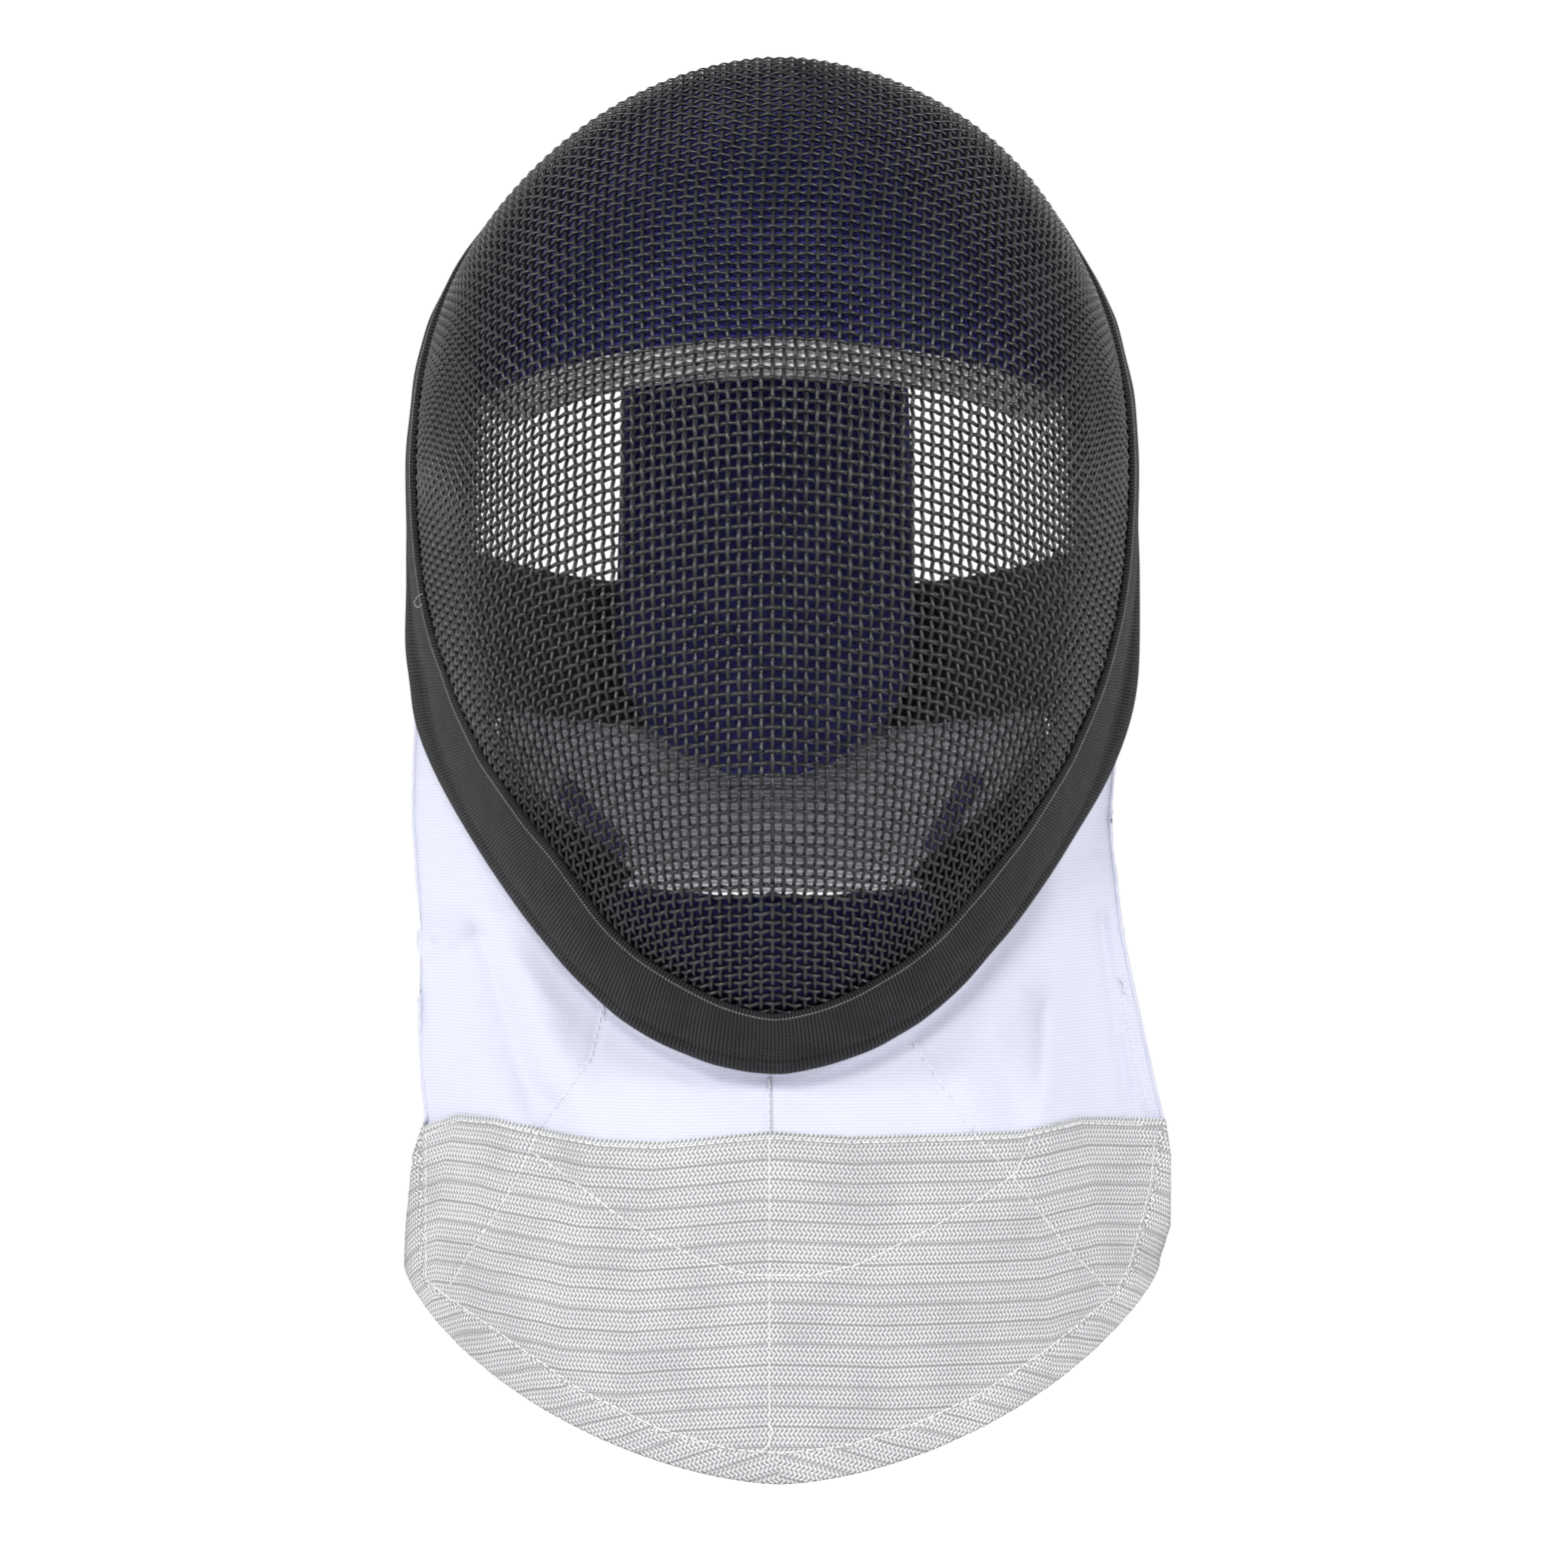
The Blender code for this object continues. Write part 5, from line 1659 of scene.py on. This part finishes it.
        # painted shade: a darker copy of the navy pad cloth for the shade the chin pad sits in, with painted
        # shade between its loops
        deep = PadCloth("chin pad cloth in painted shade", (0.055, 0.055, 0.27), (0.014, 0.014, 0.08)).make()
        thick = self.thick * 0.8
        pieces.append(self.wall("chin_cushion", "chin_pad", turn, near, edge, thick, 25, deep, (2, 1)))
        return pieces


# ---------------------------------------------------------------- straps and tongue


@dataclass
class HeadStraps:
    """Elastic straps across the back, and the tabs sewn on the lower one."""

    wall: float = 2.2 * MM
    centre: tuple = (0.0, 0.085)
    # name, node, half span, near, reach, low, high, low rise, high rise, mm, low bend
    straps: tuple = (
        ("head_elastic", "back_strap", 90.3, 118, 210, 15, 61, 6, 8, 3),
        ("nape_elastic", "neck_strap", 78.4, 97, 204, -33.6, 17, 27, 5, 8),
    )
    # length and width before the head stretches them
    flats: tuple = ((0.270, 0.047), (0.262, 0.046))
    tab_out: float = 54 * MM
    tab_long: float = 27 * MM
    tab_wide: float = 6 * MM
    tab_wall: float = 1.8 * MM
    # side, height, lean in degrees
    tabs: tuple = ((Side.RIGHT, -9 * MM, 28), (Side.LEFT, -11 * MM, 38))

    def face(self, row: tuple, columns: int = 121, rows: int = 15) -> np.ndarray:
        """Outer face of a strap."""
        span, near, reach, low, high, low_rise, high_rise = (v * MM for v in row[2:9])
        share = np.linspace(-1, 1, columns)
        side = np.sign(share) * np.sin(np.radians(np.abs(share) * 90)) ** 0.85
        deep = near + (reach - near) * (1 - np.abs(side) ** 2.3) ** 0.72
        foot = low + low_rise * np.abs(side) ** row[9]
        head = high + high_rise * np.abs(side) ** 3
        up = np.linspace(0, 1, rows)[:, None]
        z = foot[None] * (1 - up) + head[None] * up
        x, y = np.broadcast_arrays(span * side, deep)
        return np.stack([np.broadcast_to(x, z.shape), np.broadcast_to(y, z.shape), z], axis=-1)

    def inner(self, outer: np.ndarray, wall: float | np.ndarray) -> np.ndarray:
        """The face towards the head."""
        along = np.gradient(outer, axis=1)
        square = unit(np.stack([along[..., 1], -along[..., 0], np.zeros(along.shape[:2])], axis=-1))
        facing = np.sum(square[..., :2] * (outer[..., :2] - np.array(self.centre)), axis=-1, keepdims=True)
        return outer - square * np.sign(facing) * wall

    def make(self) -> list[bpy.types.Object]:
        """Both straps and both tabs."""
        # each second colour is the painted shade between the ribs
        black = KnitElastic("black elastic", (0.020, 0.020, 0.022), (0.005, 0.005, 0.006), 1.6, 1).make()
        grey_tones = (0.50, 0.51, 0.53), (0.26, 0.265, 0.28)
        # painted light: the pale edge of the grey strap stands in for the light seen under it
        pale = (0.92, 0.93, 0.94)
        grey = KnitElastic("grey elastic", *grey_tones, 1.3, 1, painted_light_edge=pale, painted_light_edge_wide=9.5).make()
        navy = KnitElastic("navy tape", (0.045, 0.045, 0.16), (0.012, 0.012, 0.05), 1.0, 1).make()
        pieces = []
        for row, cloth in zip(self.straps, (black, grey)):
            outer = self.face(row)
            up = np.linspace(0, 1, outer.shape[0])
            edge = np.clip(np.minimum(up, 1 - up) / 0.08, 0, 1)
            plump = (0.55 + 0.45 * np.sqrt(1 - (1 - edge) ** 2))[:, None, None]
            back = self.inner(outer, self.wall * plump)
            run = np.linalg.norm(np.gradient(outer, axis=1), axis=-1).cumsum(axis=1)
            cut = np.stack([run, outer[..., 2] - outer[:1, :, 2]], axis=-1)
            strap = make_wall(row[0], outer, back, cloth, cut)
            enlist(strap, row[1], row[1])
            length = float(run[0, -1])
            tall = float(np.mean(outer[-1, :, 2] - outer[0, :, 2]))
            log.info("%s is %.3f by %.3f m", row[0], length, tall)
            pieces.append(strap)
        pieces += self.make_tabs(navy)
        return pieces

    def make_tabs(self, material: bpy.types.Material) -> list[bpy.types.Object]:
        """The two tabs on the grey strap."""
        outer = self.face(self.straps[1], 25, 3)
        line = self.inner(outer, self.wall)[1]
        tabs = []
        for side, low, lean in self.tabs:
            across = np.linspace(-0.5, 0.5, 9) * self.tab_wide
            down = np.linspace(0.5, -0.5, 31) * self.tab_long
            u, v = np.meshgrid(across, down)
            angle = math.radians(lean)
            x = self.tab_out + u * math.cos(angle) + v * math.sin(angle)
            z = low + v * math.cos(angle) - u * math.sin(angle)
            y = np.interp(x, line[12:, 0], line[12:, 1]) - 0.7 * MM
            back = np.stack([side.value * x, y, z], axis=-1)
            edge = 1 - (np.abs(u) / self.tab_wide * 2) ** 4 * 0.5
            front = back - np.stack([np.zeros(x.shape), self.tab_wall * edge, np.zeros(x.shape)], axis=-1)
            cut = np.stack([u, v], axis=-1) + CUT_START
            node = f"strap_tab_{side.name.lower()}"
            name = f"navy_tab_{side.name.lower()}"
            tabs.append(enlist(make_wall(name, front, back, material, cut), node, node))
        return tabs


@dataclass
class Tongue:
    """Padded tongue at the back of the head, on its steel spring."""

    half_width: float = 46 * MM
    top_half: float = 42 * MM
    foot: float = 2 * MM
    head: float = 152 * MM
    back: float = 192 * MM
    thick: float = 9 * MM
    edge_thick: float = 3 * MM
    # the seam that runs round inside its edge, in by a share of the half width
    seam_in: float = 0.16
    seam_deep: float = 0.9 * MM
    cup: float = 9 * MM
    lean: float = 3 * MM
    fill_out: float = 2.0 * MM
    aside: float = -2 * MM
    rows: int = 61
    columns: int = 41

    def faces(self) -> tuple[np.ndarray, np.ndarray, np.ndarray]:
        """Front and back of the tongue, and how far each point is from its edge."""
        share = np.linspace(0, 1, self.rows)
        height = self.head - self.foot
        z = self.head - height * np.sin(share * math.pi / 2)
        low = np.clip((self.foot + self.half_width - z) / self.half_width, 0, 0.992)
        high = np.clip((z - self.foot) / height, 0, 1)
        wide = self.half_width + (self.top_half - self.half_width) * high**2
        wide = wide * np.sqrt(1 - low**2.2)
        side = np.linspace(-1, 1, self.columns)
        x = wide[:, None] * side[None, :] + self.aside
        deep = self.back - self.cup * (x / self.half_width) ** 2 - self.lean * (1 - high[:, None]) ** 2
        heights = np.broadcast_to(z[:, None], x.shape)
        edge = np.minimum(1 - np.abs(side)[None, :], np.minimum(share, 1 - share)[:, None] * 2)
        plump = np.sqrt(1 - (1 - np.clip(edge / 0.3, 0, 1)) ** 2)
        rib = self.seam_deep * np.exp(-(((edge - self.seam_in) / 0.035) ** 2))
        thick = self.edge_thick + (self.thick - self.edge_thick) * plump - rib
        back = np.stack([x, deep, heights], axis=-1)
        return back - np.stack([np.zeros(x.shape), thick, np.zeros(x.shape)], axis=-1), back, edge

    def make(self, steel_node: bpy.types.Object) -> list[bpy.types.Object]:
        """The padded tongue, and the finish of its spring."""
        front, back, edge = self.faces()
        # the second colour is the painted shade between the loops
        cloth = PadCloth("tongue cloth", (0.052, 0.050, 0.20), (0.014, 0.014, 0.062)).make()
        tongue = make_wall("tongue_cushion", front, back, cloth, front[..., ::2] + CUT_START)
        sewn = ((edge < 0.04) | (np.abs(edge - self.seam_in) < 0.03)).ravel()
        swell(tongue, np.concatenate([sewn, np.ones(sewn.size, bool)]), self.fill_out)
        enlist(tongue, "tongue_pad", "tongue_pad")
        for slot in steel_node.material_slots:
            slot.material = SpringSteel().make()
        return [tongue]


# ---------------------------------------------------------------- the studio


@dataclass
class Studio:
    """Pale floor that sweeps up all round, and soft lights."""

    drop: float = 0.60
    radius: float = 2.6
    curve: float = 1.0
    wall: float = 3.4
    glow: tuple = (1.0, 1.0, 1.0)
    world: float = 0.26

    def make(self) -> None:
        """The floor with its sweep, the lights and the world."""
        low = -self.drop
        bend = np.linspace(0, math.pi / 2, 13)
        sweep = self.radius + self.curve * np.sin(bend)
        reach = np.concatenate([[0.0005, 0.8, 1.7], sweep, sweep[-1:]])
        tall = np.concatenate([[low] * 3, low + self.curve * (1 - np.cos(bend)), [low + self.wall]])
        angle = np.linspace(0, 2 * math.pi, 73)
        grid = np.stack(
            [
                np.sin(angle)[:, None] * reach[None],
                np.cos(angle)[:, None] * reach[None],
                np.broadcast_to(tall, (len(angle), len(tall))),
            ],
            axis=-1,
        )
        white = StudioWhite().make()
        floor = make_piece("floor", grid.reshape(-1, 3) + SEAT, grid_quads(*grid.shape[:2]), white)
        world = bpy.data.worlds.new("studio air")
        world.use_nodes = True
        world.node_tree.nodes["Background"].inputs[0].default_value = (*self.glow, 1.0)
        world.node_tree.nodes["Background"].inputs[1].default_value = self.world
        bpy.context.scene.world = world
        for name, place, size, power in (
            ("front softbox", (-0.40, -1.75, 0.75), 0.5, 16.5),
            ("right softbox", (1.5, -1.1, 0.35), 0.5, 15.5),
            ("left softbox", (-1.6, -1.0, 0.35), 0.5, 14.5),
            ("back softbox", (0.3, 1.7, 1.2), 0.8, 6.0),
        ):
            light = bpy.data.lights.new(name, "AREA")
            light.size = size
            light.energy = power
            lamp = bpy.data.objects.new(name, light)
            lamp.location = place
            lamp.rotation_euler = (Vector((0, 0, -0.19)) - Vector(place)).to_track_quat("-Z", "Y").to_euler()
            bpy.context.scene.collection.objects.link(lamp)
        bpy.context.scene.view_settings.view_transform = "Standard"


def main() -> None:
    """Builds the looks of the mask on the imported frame."""
    logging.basicConfig(level=logging.INFO, format="%(name)s %(message)s")
    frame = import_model()
    view = Viewpoint()
    view.camera()
    form = CageForm()
    WireCage(form, view).make()
    EdgeBand(form, view).make()
    hang = BibForm(form)
    ThroatBib(hang, view).make()
    LameBib(hang, view).make()
    InnerPads(form).make()
    HeadStraps().make()
    Tongue().make(frame["nodes"]["tongue_spring"])
    Studio().make()
    bpy.context.view_layer.update()


if __name__ == "__main__":
    main()
